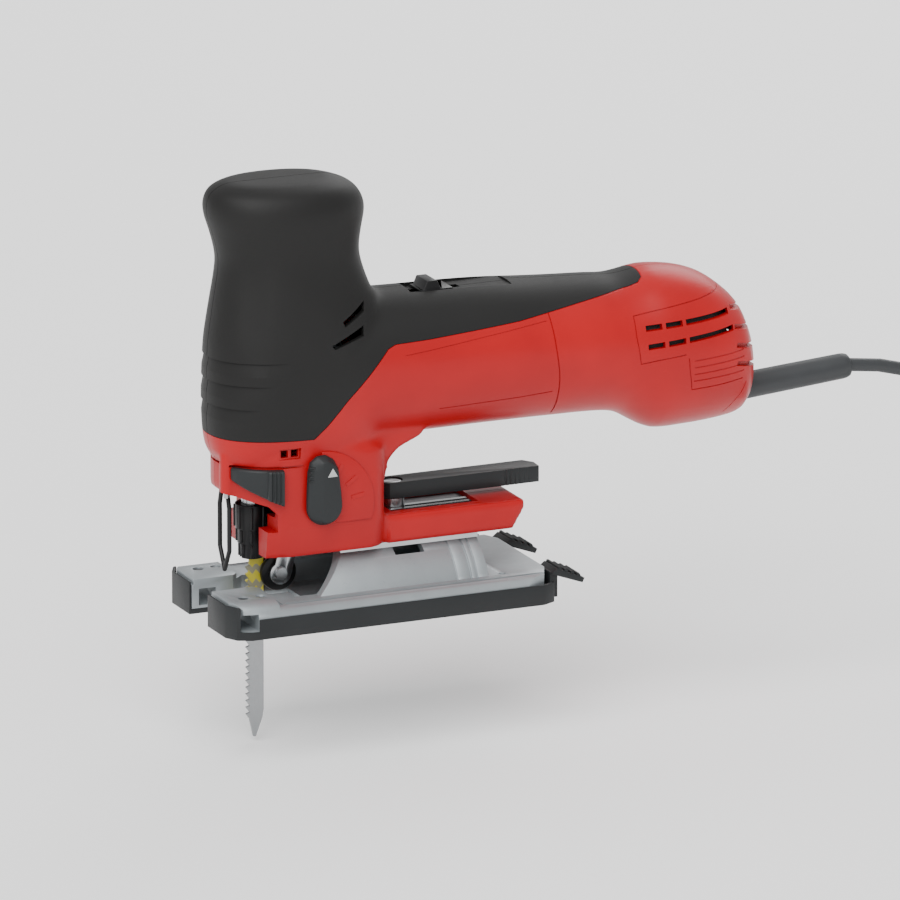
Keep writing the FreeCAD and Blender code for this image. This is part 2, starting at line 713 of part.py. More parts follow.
def selector_plate():
    """Quarter-round plate behind the selector, with raised position marks."""
    quarter = rod_y(-24.9, -24.0, SELECTOR_X, SELECTOR_Z, 24.3)
    keep = box(SELECTOR_X, SELECTOR_X + 26, -30, -20, SELECTOR_Z - 8.0, SELECTOR_Z + 26)
    plate = quarter.common(keep).cut(rod_y(-30, -20, SELECTOR_X, SELECTOR_Z, 3.4))
    return plate


def orbit_selector():
    """Turn knob: a round lobe with an arm and a grip ridge."""
    lobe = rod_y(-30.6, -25.2, SELECTOR_X + 0.4, SELECTOR_Z + 0.3, 8.3)
    arm = prism([(SELECTOR_X - 7.9, SELECTOR_Z), (SELECTOR_X - 7.2, SELECTOR_Z + 17.5),
                 (SELECTOR_X - 4.0, SELECTOR_Z + 22.6), (SELECTOR_X + 0.5, SELECTOR_Z + 23.4),
                 (SELECTOR_X + 6.6, SELECTOR_Z + 17.5), (SELECTOR_X + 8.2, SELECTOR_Z)], -30.6, -25.2)
    return fuse([lobe, arm])


def selector_shaft():
    shaft = rod_y(-25.2, -9.0, SELECTOR_X, SELECTOR_Z, 2.9)
    return shaft.cut(box(SELECTOR_X - 4, SELECTOR_X + 4, -10.8, -8, SELECTOR_Z, SELECTOR_Z + 4))


# ---- foot and base --------------------------------------------------------------------------

def foot_rails():
    """Two bright steel strips let into the top of the foot."""
    strips = []
    for y in (-6.8, -2.2):
        strip = box(61.0, 100.0, y - 1.2, y + 1.2, FOOT_TOP - 2.4, FOOT_TOP - 1.0)
        strips.append(strip.cut(rod_z(20, 60, BOLT_X, 0, 5.4)))
    return group(strips)


def bevel_saddle():
    outer = rod_x(35.0, 99.5, 0, 0, HUB_RADIUS + SADDLE_THICK)
    inner = rod_x(30.0, 110.0, 0, 0, HUB_RADIUS + 0.12)
    arch = outer.cut(inner).common(box(30, 110, -15.5, 15.5, 20, 40))
    slot = box(BOLT_X - 3.2, BOLT_X + 7.0, -3.3, 3.3, 20, 40)
    return arch.cut(slot)


def clamp_bolt():
    shank = rod_z(24.0, 46.0, BOLT_X, 0, BOLT_RADIUS)
    return shank.fuse(rod_z(40.3, 45.35, BOLT_X, 0, 5.2))


def clamp_shoe():
    """Curved nut plate under the hub, pulled up by the bolt."""
    outer = rod_x(BOLT_X - 9.0, BOLT_X + 9.0, 0, 0, HUB_RADIUS - 3.9)
    inner = rod_x(BOLT_X - 12.0, BOLT_X + 12.0, 0, 0, HUB_RADIUS - 7.2)
    plate = outer.cut(inner).common(box(0, 120, -7.5, 7.5, 15, 40))
    return plate.cut(rod_z(10, 40, BOLT_X, 0, BOLT_RADIUS))


def bevel_lever():
    """Flat clamping lever over the foot, ribbed towards its free end."""
    outline = [(60.0, -3.6), (62.4, -6.0), (114.0, -6.0), (133.0, -5.6),
               (133.4, 1.0), (130.0, 6.0), (62.4, 6.0), (60.0, 3.6)]
    bar = plan_prism(outline, 45.7, 52.8)
    bar = bar.cut(rod_z(50.4, 60, BOLT_X, 0, 4.6))
    for step in range(6):
        bar = bar.cut(rod_z(40, 60, 117.0 + 2.2 * step, -6.2, 0.6))
    return bar.cut(rod_z(40, 46.1, BOLT_X, 0, BOLT_RADIUS + RUN_GAP))


def lever_screw():
    head = rod_z(50.4, 52.2, BOLT_X, 0, 4.0)
    return head.cut(box(BOLT_X - 3.2, BOLT_X + 3.2, -0.5, 0.5, 51.4, 53))


SCREW_Y = 25.0
FENCE_SLOT_X = -20.5
FENCE_SCREW_X = -14.6
PRONG_SCREW_X = -6.5
PRONG_REAR = -2.0


def mirrored(side, first_axis=True):
    """A closed outline from one half of it, mirrored in its first or its second axis."""
    if first_axis:
        return side + [(-a, b) for a, b in side[::-1]]
    return side + [(a, -b) for a, b in side[::-1]]


def blade_opening():
    """The slot between the prongs and its flare towards the hub."""
    slot = box(-40, 24.0, -BLADE_SLOT / 2, BLADE_SLOT / 2, -10, 60)
    flare = [(-4.5, -10), (2.0, -16.2), (24.0, -16.2), (24.0, 16.2), (2.0, 16.2), (-4.5, 10)]
    return [slot, plan_prism(flare, -10, 60)]


def base_casting():
    """Aluminium casting: two prongs, deck and the arched hub, as four blocks that meet face to face."""
    half = SOLE_WIDTH / 2 - 0.9
    deck_side = [(half, SHOE_FLOOR), (half, SHOE_RIM + 0.8),
                 (half - 1.4, DECK_TOP - 1.2), (half - 3.6, DECK_TOP)]
    deck = cross_prism(mirrored(deck_side), SOLE_FRONT + 1.2, SOLE_REAR - 2.0)
    prong_side = [(half, SHOE_FLOOR), (half, SHOE_RIM + 1.0),
                  (half - 2.4, PRONG_TOP - 2.0), (half - 6.0, PRONG_TOP)]
    prongs = cross_prism(mirrored(prong_side), SOLE_FRONT + 2.0, PRONG_REAR)
    plan_side = [(SOLE_FRONT + 1.2, half - 10), (SOLE_FRONT + 6, half - 2), (SOLE_FRONT + 12, half),
                 (SOLE_REAR - 15, half), (SOLE_REAR - 6, half - 4), (SOLE_REAR - 2, half - 13)]
    body = fuse([deck, prongs]).common(plan_prism(mirrored(plan_side, first_axis=False), 0, 60))
    hub = rod_x(14.0, HUB_REAR, 0, 0, HUB_RADIUS)
    hub = hub.common(box(0, 120, -40, 40, SHOE_FLOOR, 40))
    sweep = [(0.0, 60.0), (HUB_FRONT + 3, 60.0), (HUB_FRONT + 3, 29.0),
             (20.0, 13.0), (14.0, SHOE_FLOOR), (0.0, 0.0)]
    hub = hub.cut(prism(sweep, -50, 50))
    hollow = rod_x(0.0, HUB_REAR - 4.0, 0, 0, HUB_RADIUS - 3.5)
    hollow = hollow.common(box(-4.0, 120, -40, 40, 0, 40))
    body = fuse([body, hub]).cut(hollow.common(box(10, 120, -24.0, 24.0, SHOE_FLOOR + 2.0, 40)))
    body = body.cut(blade_opening())
    window = box(BOLT_X - 6.8, BOLT_X + 6.8, -40, 40, 12, 60)
    reach = HUB_RADIUS * math.sin(math.radians(TILT_LIMIT + 8.0))
    window = window.common(box(0, 120, -reach, reach, 12, 60))
    body = body.cut(window)
    body = body.cut(box(FENCE_SLOT_X, FENCE_SLOT_X + 8.0, -50, 50, 3.6, 11.0))
    for y in (-SCREW_Y, SCREW_Y):
        body = body.cut(rod_z(9.0, 30.0, FENCE_SCREW_X, y, 2.4))
        body = body.cut(rod_z(PRONG_TOP - 4.0, 30.0, PRONG_SCREW_X, y, 2.2))
    for y in (-33.0, 33.0):
        body = body.cut(box(2.0, SOLE_REAR + 5, y - 1.0, y + 1.0, DECK_TOP - 0.9, 20))
    return {
        "base_plate": body.common(box(PRONG_REAR, 150, -50, 50, 0, DECK_TOP)),
        "base_hub": body.common(box(PRONG_REAR, 150, -50, 50, DECK_TOP, 50)),
        "prong_left": body.common(box(-50, PRONG_REAR, -50, 0, 0, 50)),
        "prong_right": body.common(box(-50, PRONG_REAR, 0, 50, 0, 50)),
    }


def shoe_plan(inset, z0, z1):
    half = SOLE_WIDTH / 2 - inset
    front = SOLE_FRONT + inset
    rear = SOLE_REAR - inset
    side = [(front, half - 9), (front + 3, half - 3), (front + 9, half),
            (rear - 8, half), (rear - 2, half - 3), (rear, half - 9)]
    return plan_prism(mirrored(side, first_axis=False), z0, z1)


def overshoe():
    """Clip-on plastic sole with raised rims, two front caps and two rear hooks."""
    floor = shoe_plan(0, 0, SHOE_FLOOR)
    rim = shoe_plan(0, 0, SHOE_RIM).cut(shoe_plan(0.85, SHOE_FLOOR, 30))
    rim = rim.cut(box(SOLE_REAR - 8, SOLE_REAR + 5, -33.0, 33.0, SHOE_FLOOR, 30))
    caps = shoe_plan(0, 0, PRONG_TOP - 1.0).cut(shoe_plan(0.85, SHOE_FLOOR, 30))
    caps = caps.common(box(-40, SOLE_FRONT + 6.0, -50, 50, 0, 30))
    shoe = fuse([floor, rim, caps])
    shoe = shoe.cut(blade_opening())
    shoe = shoe.cut(box(FENCE_SLOT_X, FENCE_SLOT_X + 8.0, -50, 50, 3.6, 30))
    hooks = []
    for y in (-25.0, 25.0):
        stem = box(SOLE_REAR - 1.85, SOLE_REAR + 2.0, y - 5.0, y + 5.0, 0.4, DECK_TOP - 1.0)
        head = prism([(SOLE_REAR - 1.85, DECK_TOP - 1.6), (SOLE_REAR + 1.0, DECK_TOP + 0.6),
                      (SOLE_REAR + 14.0, 8.0), (SOLE_REAR + 13.0, 6.0)], y - 7.0, y + 7.0)
        hooks += [stem, head]
    return fuse([shoe] + hooks)


def fence_screws():
    screws = []
    for y in (-SCREW_Y, SCREW_Y):
        screws.append(rod_z(9.5, PRONG_TOP - 0.6, FENCE_SCREW_X, y, 2.4))
    return group(screws)


def prong_screws():
    screws = []
    for y in (-SCREW_Y, SCREW_Y):
        screws.append(rod_z(PRONG_TOP - 4.0, PRONG_TOP - 0.5, PRONG_SCREW_X, y, 2.2))
    return group(screws)


# ---- cord -----------------------------------------------------------------------------------

COIL_MIDDLE = (395.0, 6.1)
COIL_MEAN_RADIUS = 30.1
COIL_COLUMNS = 3
COIL_LAYERS = 4
TAIL_LENGTH = 24.0

# the stretch of cord that is not coiled, from the sleeve to the coil
CORD_POINTS = [
    (284.0, 0.0, 80.2),
    (308.0, 0.0, 78.4),
    (330.0, -3.0, 64.0),
    (341.0, -8.0, 38.0),
    (345.0, -15.0, 8.0),
    (350.0, -24.0, -19.0),
    (369.0, -29.5, -34.5),
    (395.0, -30.0, -36.0),
]


def cord_path(points):
    """Straight runs joined by the largest tangent arcs that the runs allow."""
    corners = [Vector(*p) for p in points]
    edges = []
    here = corners[0]
    for before, corner, after in zip(corners, corners[1:], corners[2:]):
        come = (corner - before).normalize()
        leave = (after - corner).normalize()
        shorter = min((corner - before).Length, (after - corner).Length)
        half_turn = come.getAngle(leave) / 2
        reach = 0.45 * shorter
        print("cord bend radius", round(reach / math.tan(half_turn), 1))
        start = corner - come * reach
        end = corner + leave * reach
        inward = (leave - come).normalize()
        radius = reach / math.tan(half_turn)
        middle = corner + inward * (radius / math.cos(half_turn) - radius)
        edges.append(Part.LineSegment(here, start).toShape())
        edges.append(Part.Arc(start, middle, end).toShape())
        here = end
    edges.append(Part.LineSegment(here, corners[-1]).toShape())
    return Part.Wire(edges)


def cord():
    path = cord_path(CORD_POINTS)
    start = Vector(*CORD_POINTS[0])
    heading = Vector(*CORD_POINTS[1]) - start
    section = Part.Wire(Part.makeCircle(CORD_DIAMETER / 2, start, heading))
    tube = path.makePipeShell([section], True, False)
    expected = math.pi * (CORD_DIAMETER / 2) ** 2 * path.Length
    print("cord tube length", round(path.Length, 1), "volume share", round(tube.Volume / expected, 4))
    return tube


def cord_coil():
    half_wide = COIL_COLUMNS * CORD_DIAMETER / 2
    tall = COIL_LAYERS * CORD_DIAMETER
    x, y = COIL_MIDDLE
    outer = COIL_MEAN_RADIUS + half_wide
    body = ring_z(REST_LEVEL, REST_LEVEL + tall, x, y, outer, COIL_MEAN_RADIUS - half_wide)
    return rounded_edges(body, 2.5, lambda c, e: len(e.Vertexes) == 1)


def tail_start():
    x, y = COIL_MIDDLE
    outer_turn = COIL_MEAN_RADIUS + (COIL_COLUMNS - 1) * CORD_DIAMETER / 2
    return x, y - outer_turn, REST_LEVEL + CORD_DIAMETER / 2


def cord_tail():
    x, y, z = tail_start()
    return rod_x(x, x + TAIL_LENGTH, y, z, CORD_DIAMETER / 2)


def plug_body():
    """Flat two-pin plug with a tapered neck."""
    x, y, z = tail_start()
    back = x + TAIL_LENGTH
    neck = Part.makeCone(3.8, 4.2, 14.0, Vector(back, y, z + 1.2), Vector(1, 0, 0))
    outline = [(back + 12.0, y - 6.0), (back + 24.0, y - 13.0), (back + 40.0, y - 13.0),
               (back + 44.0, y - 9.0), (back + 44.0, y + 9.0), (back + 40.0, y + 13.0),
               (back + 24.0, y + 13.0), (back + 12.0, y + 6.0)]
    shell = plan_prism(outline, REST_LEVEL, REST_LEVEL + 12.0)
    return fuse([neck, shell])


def plug_pins():
    x, y, z = tail_start()
    face = x + TAIL_LENGTH + 44.0
    return group([rod_x(face, face + 19.0, y + side * 9.0, REST_LEVEL + 6.0, 2.0) for side in (-0.9, 0.9)])


def strain_relief():
    """Rubber sleeve with a flange held by the housing."""
    start = Vector(SLEEVE_START, 0, SLEEVE_Z)
    line = Vector(SLEEVE_END, 0, SLEEVE_END_Z) - start
    sleeve = Part.makeCylinder(5.7, line.Length, start, line)
    flange = rod_x(226.1, 228.0, 0, SLEEVE_Z, 8.0)
    sleeve = fuse([sleeve, flange])
    for step in range(6):
        x = 236.0 + 3.4 * step
        z = SLEEVE_Z + (SLEEVE_END_Z - SLEEVE_Z) * (x - SLEEVE_START) / (SLEEVE_END - SLEEVE_START)
        sleeve = sleeve.cut(ring_x(x, x + 1.2, 0, z, 8.0, 5.1))
    end_trim = box(SLEEVE_END, SLEEVE_END + 5, -10, 10, 60, 100)
    return sleeve.cut(end_trim)


# ---- all nodes ------------------------------------------------------------------------------

PIECES = {
    "housing_screws": housing_screws,
    "drive_gear": drive_gear,
    "crank_pin": crank_pin,
    "gear_axle": gear_axle,
    "plunger": plunger,
    "scotch_yoke": scotch_yoke,
    "blade_holder": blade_holder,
    "blade": blade,
    "clamp_collar": clamp_collar,
    "plunger_bushes": bush_pair,
    "gear_case": gear_case,
    "armature_shaft": armature_shaft,
    "cooling_fan": cooling_fan,
    "armature_core": armature_core,
    "commutator": commutator,
    "stator_core": stator_core,
    "stator_coils": stator_coils,
    "brush_holders": brush_holders,
    "carbon_brushes": carbon_brushes,
    "brush_springs": brush_springs,
    "switch_slider": switch_slider,
    "switch_module": switch_module,
    "rear_bearing_seat": rear_bearing_seat,
    "cord_clamp": cord_clamp,
    "release_lever": release_lever,
    "lever_pin": lever_pin,
    "wire_guard": wire_guard,
    "guide_roller": guide_roller,
    "roller_pin": roller_pin,
    "roller_fork": roller_fork,
    "pendulum_pin": pivot_pin,
    "selector_plate": selector_plate,
    "orbit_selector": orbit_selector,
    "selector_shaft": selector_shaft,
    "foot_rails": foot_rails,
    "bevel_saddle": bevel_saddle,
    "clamp_bolt": clamp_bolt,
    "clamp_shoe": clamp_shoe,
    "bevel_lever": bevel_lever,
    "lever_screw": lever_screw,
    "overshoe": overshoe,
    "fence_screws": fence_screws,
    "prong_screws": prong_screws,
    "strain_relief": strain_relief,
    "cord": cord,
    "cord_coil": cord_coil,
    "cord_tail": cord_tail,
    "plug_body": plug_body,
    "plug_pins": plug_pins,
}


def main():
    os.makedirs("parts", exist_ok=True)
    shapes = housing_forms()
    shapes.update(base_casting())
    shapes["front_bearing"] = bearing(33.0, 40.0, 11.0, SHAFT_RADIUS)
    shapes["rear_bearing"] = bearing(172.0, 180.0, 9.5, SHAFT_RADIUS)
    for name, make in PIECES.items():
        shapes[name] = make()
    for name, shape in shapes.items():
        if not shape.isValid() or not shape.Solids:
            print("check the shape of", name)
        shape.exportStep(os.path.join("parts", name + ".step"))
        b = shape.BoundBox
        print(name, len(shape.Solids), "solids", round(shape.Volume / 1000, 2), "cm3",
              [round(v, 1) for v in (b.XMin, b.XMax, b.YMin, b.YMax, b.ZMin, b.ZMax)])


main()
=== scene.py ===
"""Barrel-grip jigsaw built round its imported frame: shells, grip, guide parts, base, cord and stage."""
import json
import math
import bmesh
import bpy
from mathutils import Matrix, Vector


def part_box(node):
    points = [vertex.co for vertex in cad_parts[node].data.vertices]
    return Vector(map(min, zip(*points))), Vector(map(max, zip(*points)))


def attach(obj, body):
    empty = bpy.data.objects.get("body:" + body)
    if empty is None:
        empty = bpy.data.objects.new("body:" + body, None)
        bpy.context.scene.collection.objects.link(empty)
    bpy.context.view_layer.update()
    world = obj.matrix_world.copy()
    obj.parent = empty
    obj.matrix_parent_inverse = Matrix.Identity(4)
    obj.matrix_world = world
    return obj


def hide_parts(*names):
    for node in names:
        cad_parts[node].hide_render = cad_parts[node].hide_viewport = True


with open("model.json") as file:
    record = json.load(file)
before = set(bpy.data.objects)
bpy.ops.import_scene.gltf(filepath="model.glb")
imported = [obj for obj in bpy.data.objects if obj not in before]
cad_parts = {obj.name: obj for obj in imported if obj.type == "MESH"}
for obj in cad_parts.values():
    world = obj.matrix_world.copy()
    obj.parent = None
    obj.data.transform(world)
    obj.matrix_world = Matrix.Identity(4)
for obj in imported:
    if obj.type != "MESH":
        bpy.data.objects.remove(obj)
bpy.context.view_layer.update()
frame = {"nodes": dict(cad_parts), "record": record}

bl_info = {
    "name": "Barrel-grip jigsaw",
    "version": (1, 0, 0),
    "blender": (4, 5, 0),
    "location": "3D View > Sidebar > Jigsaw",
    "description": "Builds the visible pieces and finishes of a barrel-grip jigsaw",
    "category": "Object",
}

MM = 0.001
BODIES = frame["record"]["behaviour"]["bodies"]
BODY_OF = {node: body for body, nodes in BODIES.items() for node in nodes}

# knob and column: height, centre x, half length, half width, squareness (mm)
COLUMN = [
    (71.0, 21.0, 37.2, 23.0, 2.6), (76.0, 20.0, 39.2, 24.0, 2.5), (84.0, 20.0, 40.6, 26.2, 2.4),
    (100.0, 20.0, 41.0, 28.4, 2.3), (122.0, 20.6, 41.0, 28.0, 2.2), (131.0, 20.2, 39.4, 27.0, 2.2),
    (144.0, 18.2, 35.4, 25.4, 2.1), (152.0, 17.4, 33.2, 24.4, 2.1), (160.0, 16.8, 31.9, 24.0, 2.1),
    (171.0, 16.2, 33.8, 25.0, 2.1), (179.0, 15.6, 35.8, 26.0, 2.1), (185.0, 14.4, 35.0, 25.2, 2.1),
    (190.0, 13.0, 31.2, 21.8, 2.1), (193.2, 11.5, 23.0, 14.5, 2.1),
]
# barrel: x, centre height, half height, half width (mm)
BARREL = [
    (24.0, 107.5, 31.0, 27.6), (45.0, 107.2, 32.4, 29.0), (75.0, 106.9, 32.0, 30.2),
    (105.0, 106.6, 31.5, 30.6), (136.0, 105.4, 30.5, 30.0), (160.0, 104.4, 30.1, 29.6),
    (169.0, 103.2, 30.6, 30.0), (177.0, 101.4, 33.4, 31.0), (185.0, 100.1, 36.0, 32.2),
    (200.0, 99.2, 35.2, 32.2), (211.0, 97.6, 33.0, 30.6), (219.0, 95.2, 29.8, 27.8),
    (226.0, 92.4, 25.6, 23.6), (230.0, 90.0, 19.6, 18.0),
]
BARREL_SQUARENESS = 2.1
NOSE = (10.0, 25.3, 24.0)
# border of the soft grip as seen from the side: x and height (mm)
GRIP_BORDER = [
    (-40.0, 83.6), (-10.0, 82.9), (18.5, 82.4), (24.4, 88.0), (40.0, 105.4), (52.4, 119.2), (56.0, 120.8),
    (71.5, 121.4), (115.0, 124.4), (145.0, 128.0), (165.0, 130.2), (172.0, 131.0), (176.5, 132.0),
    (179.4, 133.6), (180.6, 136.0), (181.0, 150.0), (120.0, 210.0), (-40.0, 210.0),
]
SWITCH_FLOOR = 136.2
SELECTOR = (22.5, 52.0)
BOLT_X = 66.0
FLOOR_LEVEL = -57.0
LEVER_PIN = (-15.5, -8.9)
HUB_RADIUS = 31.3
DECK_TOP = 13.0


# ---- settings a user would change --------------------------------------------------------------

def colour(label, what, value):
    return bpy.props.FloatVectorProperty(
        name=label, description=what, default=value, size=3, min=0.0, max=1.0, subtype="COLOR")


def length(label, what, value):
    return bpy.props.FloatProperty(name=label, description=what, default=value, unit="LENGTH", precision=5)


class JigsawFinish(bpy.types.PropertyGroup):
    shell: colour("Shell", "Colour of the moulded motor housing", (0.36, 0.0030, 0.0055))
    grip: colour("Soft grip", "Colour of the rubber over the knob and barrel", (0.0078, 0.0076, 0.0074))
    lever: colour("Levers", "Colour of the moulded levers", (0.016, 0.018, 0.019))
    sole: colour("Sole", "Colour of the clip-on sole", (0.014, 0.0155, 0.0165))
    black: colour("Black parts", "Colour of the clamp sleeve, roller and selector", (0.006, 0.006, 0.0065))
    casting: colour("Casting", "Colour of the cast base", (0.30, 0.33, 0.345))
    cord: colour("Cord", "Colour of the cord and its sleeve", (0.018, 0.020, 0.022))
    blade: colour("Blade paint", "Paint at the root of the blade", (0.46, 0.40, 0.03))


class JigsawSizes(bpy.types.PropertyGroup):
    cell: length("Shell cell", "Edge length of the shell's mesh", 1.25 * MM)
    wall: length("Shell wall", "Thickness of the moulded shell", 2.6 * MM)
    seam: length("Seam", "Gap between the two halves of the shell", 0.30 * MM)
    edge: length("Edge round", "Rounding along the edges of small pieces", 0.45 * MM)


# ---- shader helpers ----------------------------------------------------------------------------

class Wire:
    """A shader output that takes part in plain arithmetic."""

    def __init__(self, tree, socket):
        self.tree = tree
        self.socket = socket

    def maths(self, operation, *values):
        node = self.tree.nodes.new("ShaderNodeMath")
        node.operation = operation
        for slot, value in enumerate(values):
            if isinstance(value, Wire):
                self.tree.links.new(value.socket, node.inputs[slot])
            else:
                node.inputs[slot].default_value = value
        return Wire(self.tree, node.outputs[0])

    def __add__(self, other):
        return self.maths("ADD", self, other)

    def __radd__(self, other):
        return self.maths("ADD", other, self)

    def __sub__(self, other):
        return self.maths("SUBTRACT", self, other)

    def __rsub__(self, other):
        return self.maths("SUBTRACT", other, self)

    def __mul__(self, other):
        return self.maths("MULTIPLY", self, other)

    def __rmul__(self, other):
        return self.maths("MULTIPLY", other, self)

    def __truediv__(self, other):
        return self.maths("DIVIDE", self, other)

    def __gt__(self, other):
        return self.maths("GREATER_THAN", self, other)

    def __lt__(self, other):
        return self.maths("LESS_THAN", self, other)

    def __abs__(self):
        return self.maths("ABSOLUTE", self)

    def __mod__(self, other):
        return self.maths("FLOORED_MODULO", self, other)


class Finish:
    """One material: its nodes are made through node(), and its maths through Wire."""

    def __init__(self, name):
        self.material = bpy.data.materials.new(name)
        self.material.use_nodes = True
        self.tree = self.material.node_tree
        self.shader = self.tree.nodes["Principled BSDF"]
        self.place = self.node("ShaderNodeTexCoord", out="Object")

    def node(self, kind, settings=None, inputs=None, out=0):
        node = self.tree.nodes.new(kind)
        for key, value in (settings or {}).items():
            setattr(node, key, value)
        for key, value in (inputs or {}).items():
            self.feed(node.inputs[key], value)
        return Wire(self.tree, node.outputs[out])

    def feed(self, socket, value):
        if isinstance(value, Wire):
            self.tree.links.new(value.socket, socket)
        elif hasattr(value, "__len__") and len(value) == 3 and socket.type == "RGBA":
            socket.default_value = (*value, 1.0)
        else:
            socket.default_value = value

    def surface(self, **values):
        for key, value in values.items():
            self.feed(self.shader.inputs[key.replace("_", " ")], value)

    def axes(self):
        node = self.tree.nodes.new("ShaderNodeSeparateXYZ")
        self.tree.links.new(self.place.socket, node.inputs[0])
        return [Wire(self.tree, node.outputs[i]) for i in range(3)]

    def noise(self, size, detail=2.0, stretch=(1, 1, 1), roughness=0.5):
        """Noise with a grain of about size millimetres, stretched along the axes."""
        place = self.node("ShaderNodeMapping", {}, {"Vector": self.place, "Scale": stretch})
        values = {"Vector": place, "Scale": 1 / (size * MM), "Detail": detail, "Roughness": roughness}
        return self.node("ShaderNodeTexNoise", {}, values)

    def band(self, value, low, high):
        """0 below low, 1 above high, smooth between."""
        values = {"Value": value, "From Min": low, "From Max": high}
        return self.node("ShaderNodeMapRange", {"interpolation_type": "SMOOTHSTEP"}, values)

    def mix(self, factor, first, second):
        return self.node("ShaderNodeMix", {"data_type": "RGBA"}, {0: factor, 6: first, 7: second}, out=2)

    def bump(self, height, distance, strength=1.0, normal=None):
        values = {"Height": height, "Distance": distance * MM, "Strength": strength}
        if normal is not None:
            values["Normal"] = normal
        return self.node("ShaderNodeBump", {}, values)


def shade(rgb, factor):
    return tuple(min(1.0, c * factor) for c in rgb)


def rgb4(rgb):
    return (rgb[0], rgb[1], rgb[2], 1.0)


def moulded(name, rgb, rough, grain=0.8, depth=0.035, coat=0.0, wear=0.5):
    """Moulded plastic or rubber: fine spark-eroded grain, faint cloudiness and light rubbing."""
    f = Finish(name)
    fine = f.noise(grain, 3.0)
    cloud = f.noise(38.0, 3.0)
    rub = f.band(f.noise(5.0, 5.0, (1, 1, 2.2), 0.62), 0.60, 0.74) * wear
    tint = f.mix(f.band(cloud, 0.3, 0.7), rgb4(shade(rgb, 0.90)), rgb4(shade(rgb, 1.08)))
    tint = f.mix(rub * 0.25, tint, rgb4(shade(rgb, 1.5)))
    f.surface(Base_Color=tint, Roughness=rough + (fine - 0.5) * 0.12 + (cloud - 0.5) * 0.10 - rub * 0.06,
              Coat_Weight=coat, Coat_Roughness=0.25, Specular_IOR_Level=0.24)
    f.surface(Normal=f.bump(fine, depth, 0.55))
    return f.material


def metal(name, rgb, rough, stretch=(1, 1, 1), grain=0.5, depth=0.01, metallic=1.0, stain=0.25):
    """Bare metal: brushed or cast grain along one axis, soft stains and small pits."""
    f = Finish(name)
    fine = f.noise(grain, 4.0, stretch)
    cloud = f.noise(14.0, 4.0)
    pits = f.band(f.noise(1.6, 2.0), 0.66, 0.72)
    tint = f.mix(f.band(cloud, 0.35, 0.7) * stain, rgb4(rgb), rgb4(shade(rgb, 0.72)))
    tint = f.mix(pits * 0.18, tint, rgb4(shade(rgb, 0.5)))
    f.surface(Base_Color=tint, Metallic=metallic, Roughness=rough + (fine - 0.5) * 0.16 + (cloud - 0.5) * 0.14)
    f.surface(Normal=f.bump(fine - pits * 0.6, depth, 0.6))
    return f.material


def blade_finish(rgb):
    """Paint at the root with slanted print bars, and ground steel below."""
    f = Finish("blade_paint")
    x, y, z = f.axes()
    fine = f.noise(0.35, 3.0, (1, 1, 0.12))
    chips = (f.noise(1.1, 4.0) - 0.5) * 0.0016
    painted = f.band(z + chips, 0.0008, 0.0012)
    bars = f.band(abs((z * 1.0 + abs((x * 1.0) % 0.0034 - 0.0017) * 1.2) % 0.0072 - 0.0036), 0.0019, 0.0022)
    zone = (z > 0.0105) * (z < 0.0225)
    paint = f.mix(bars * zone * 0.85, rgb4(rgb), rgb4((0.16, 0.16, 0.15)))
    steel = f.mix(fine * 0.3, rgb4((0.33, 0.34, 0.35)), rgb4((0.17, 0.18, 0.18)))
    f.surface(Base_Color=f.mix(painted, steel, paint), Metallic=1.0 - painted * 0.92,
              Roughness=0.30 + painted * 0.14 + (fine - 0.5) * 0.12)
    f.surface(Normal=f.bump(fine, 0.01, 0.5))
    return f.material


def cord_finish(rgb):
    """Rubber sheath with a dusty bloom."""
    f = Finish("cord_rubber")
    fine = f.noise(0.6, 3.0)
    dust = f.band(f.noise(9.0, 4.0), 0.45, 0.8)
    f.surface(Base_Color=f.mix(dust * 0.4, rgb4(rgb), rgb4(shade(rgb, 1.6))),
              Roughness=0.52 + (fine - 0.5) * 0.12 + dust * 0.1)
    f.surface(Normal=f.bump(fine, 0.02, 0.5))
    return f.material


def floor_finish():
    f = Finish("studio_floor")
    cloud = f.noise(400.0, 2.0)
    f.surface(Base_Color=f.mix(cloud, rgb4((0.94, 0.94, 0.94)), rgb4((0.96, 0.96, 0.96))), Roughness=0.75)
    return f.material


MATERIALS = {}


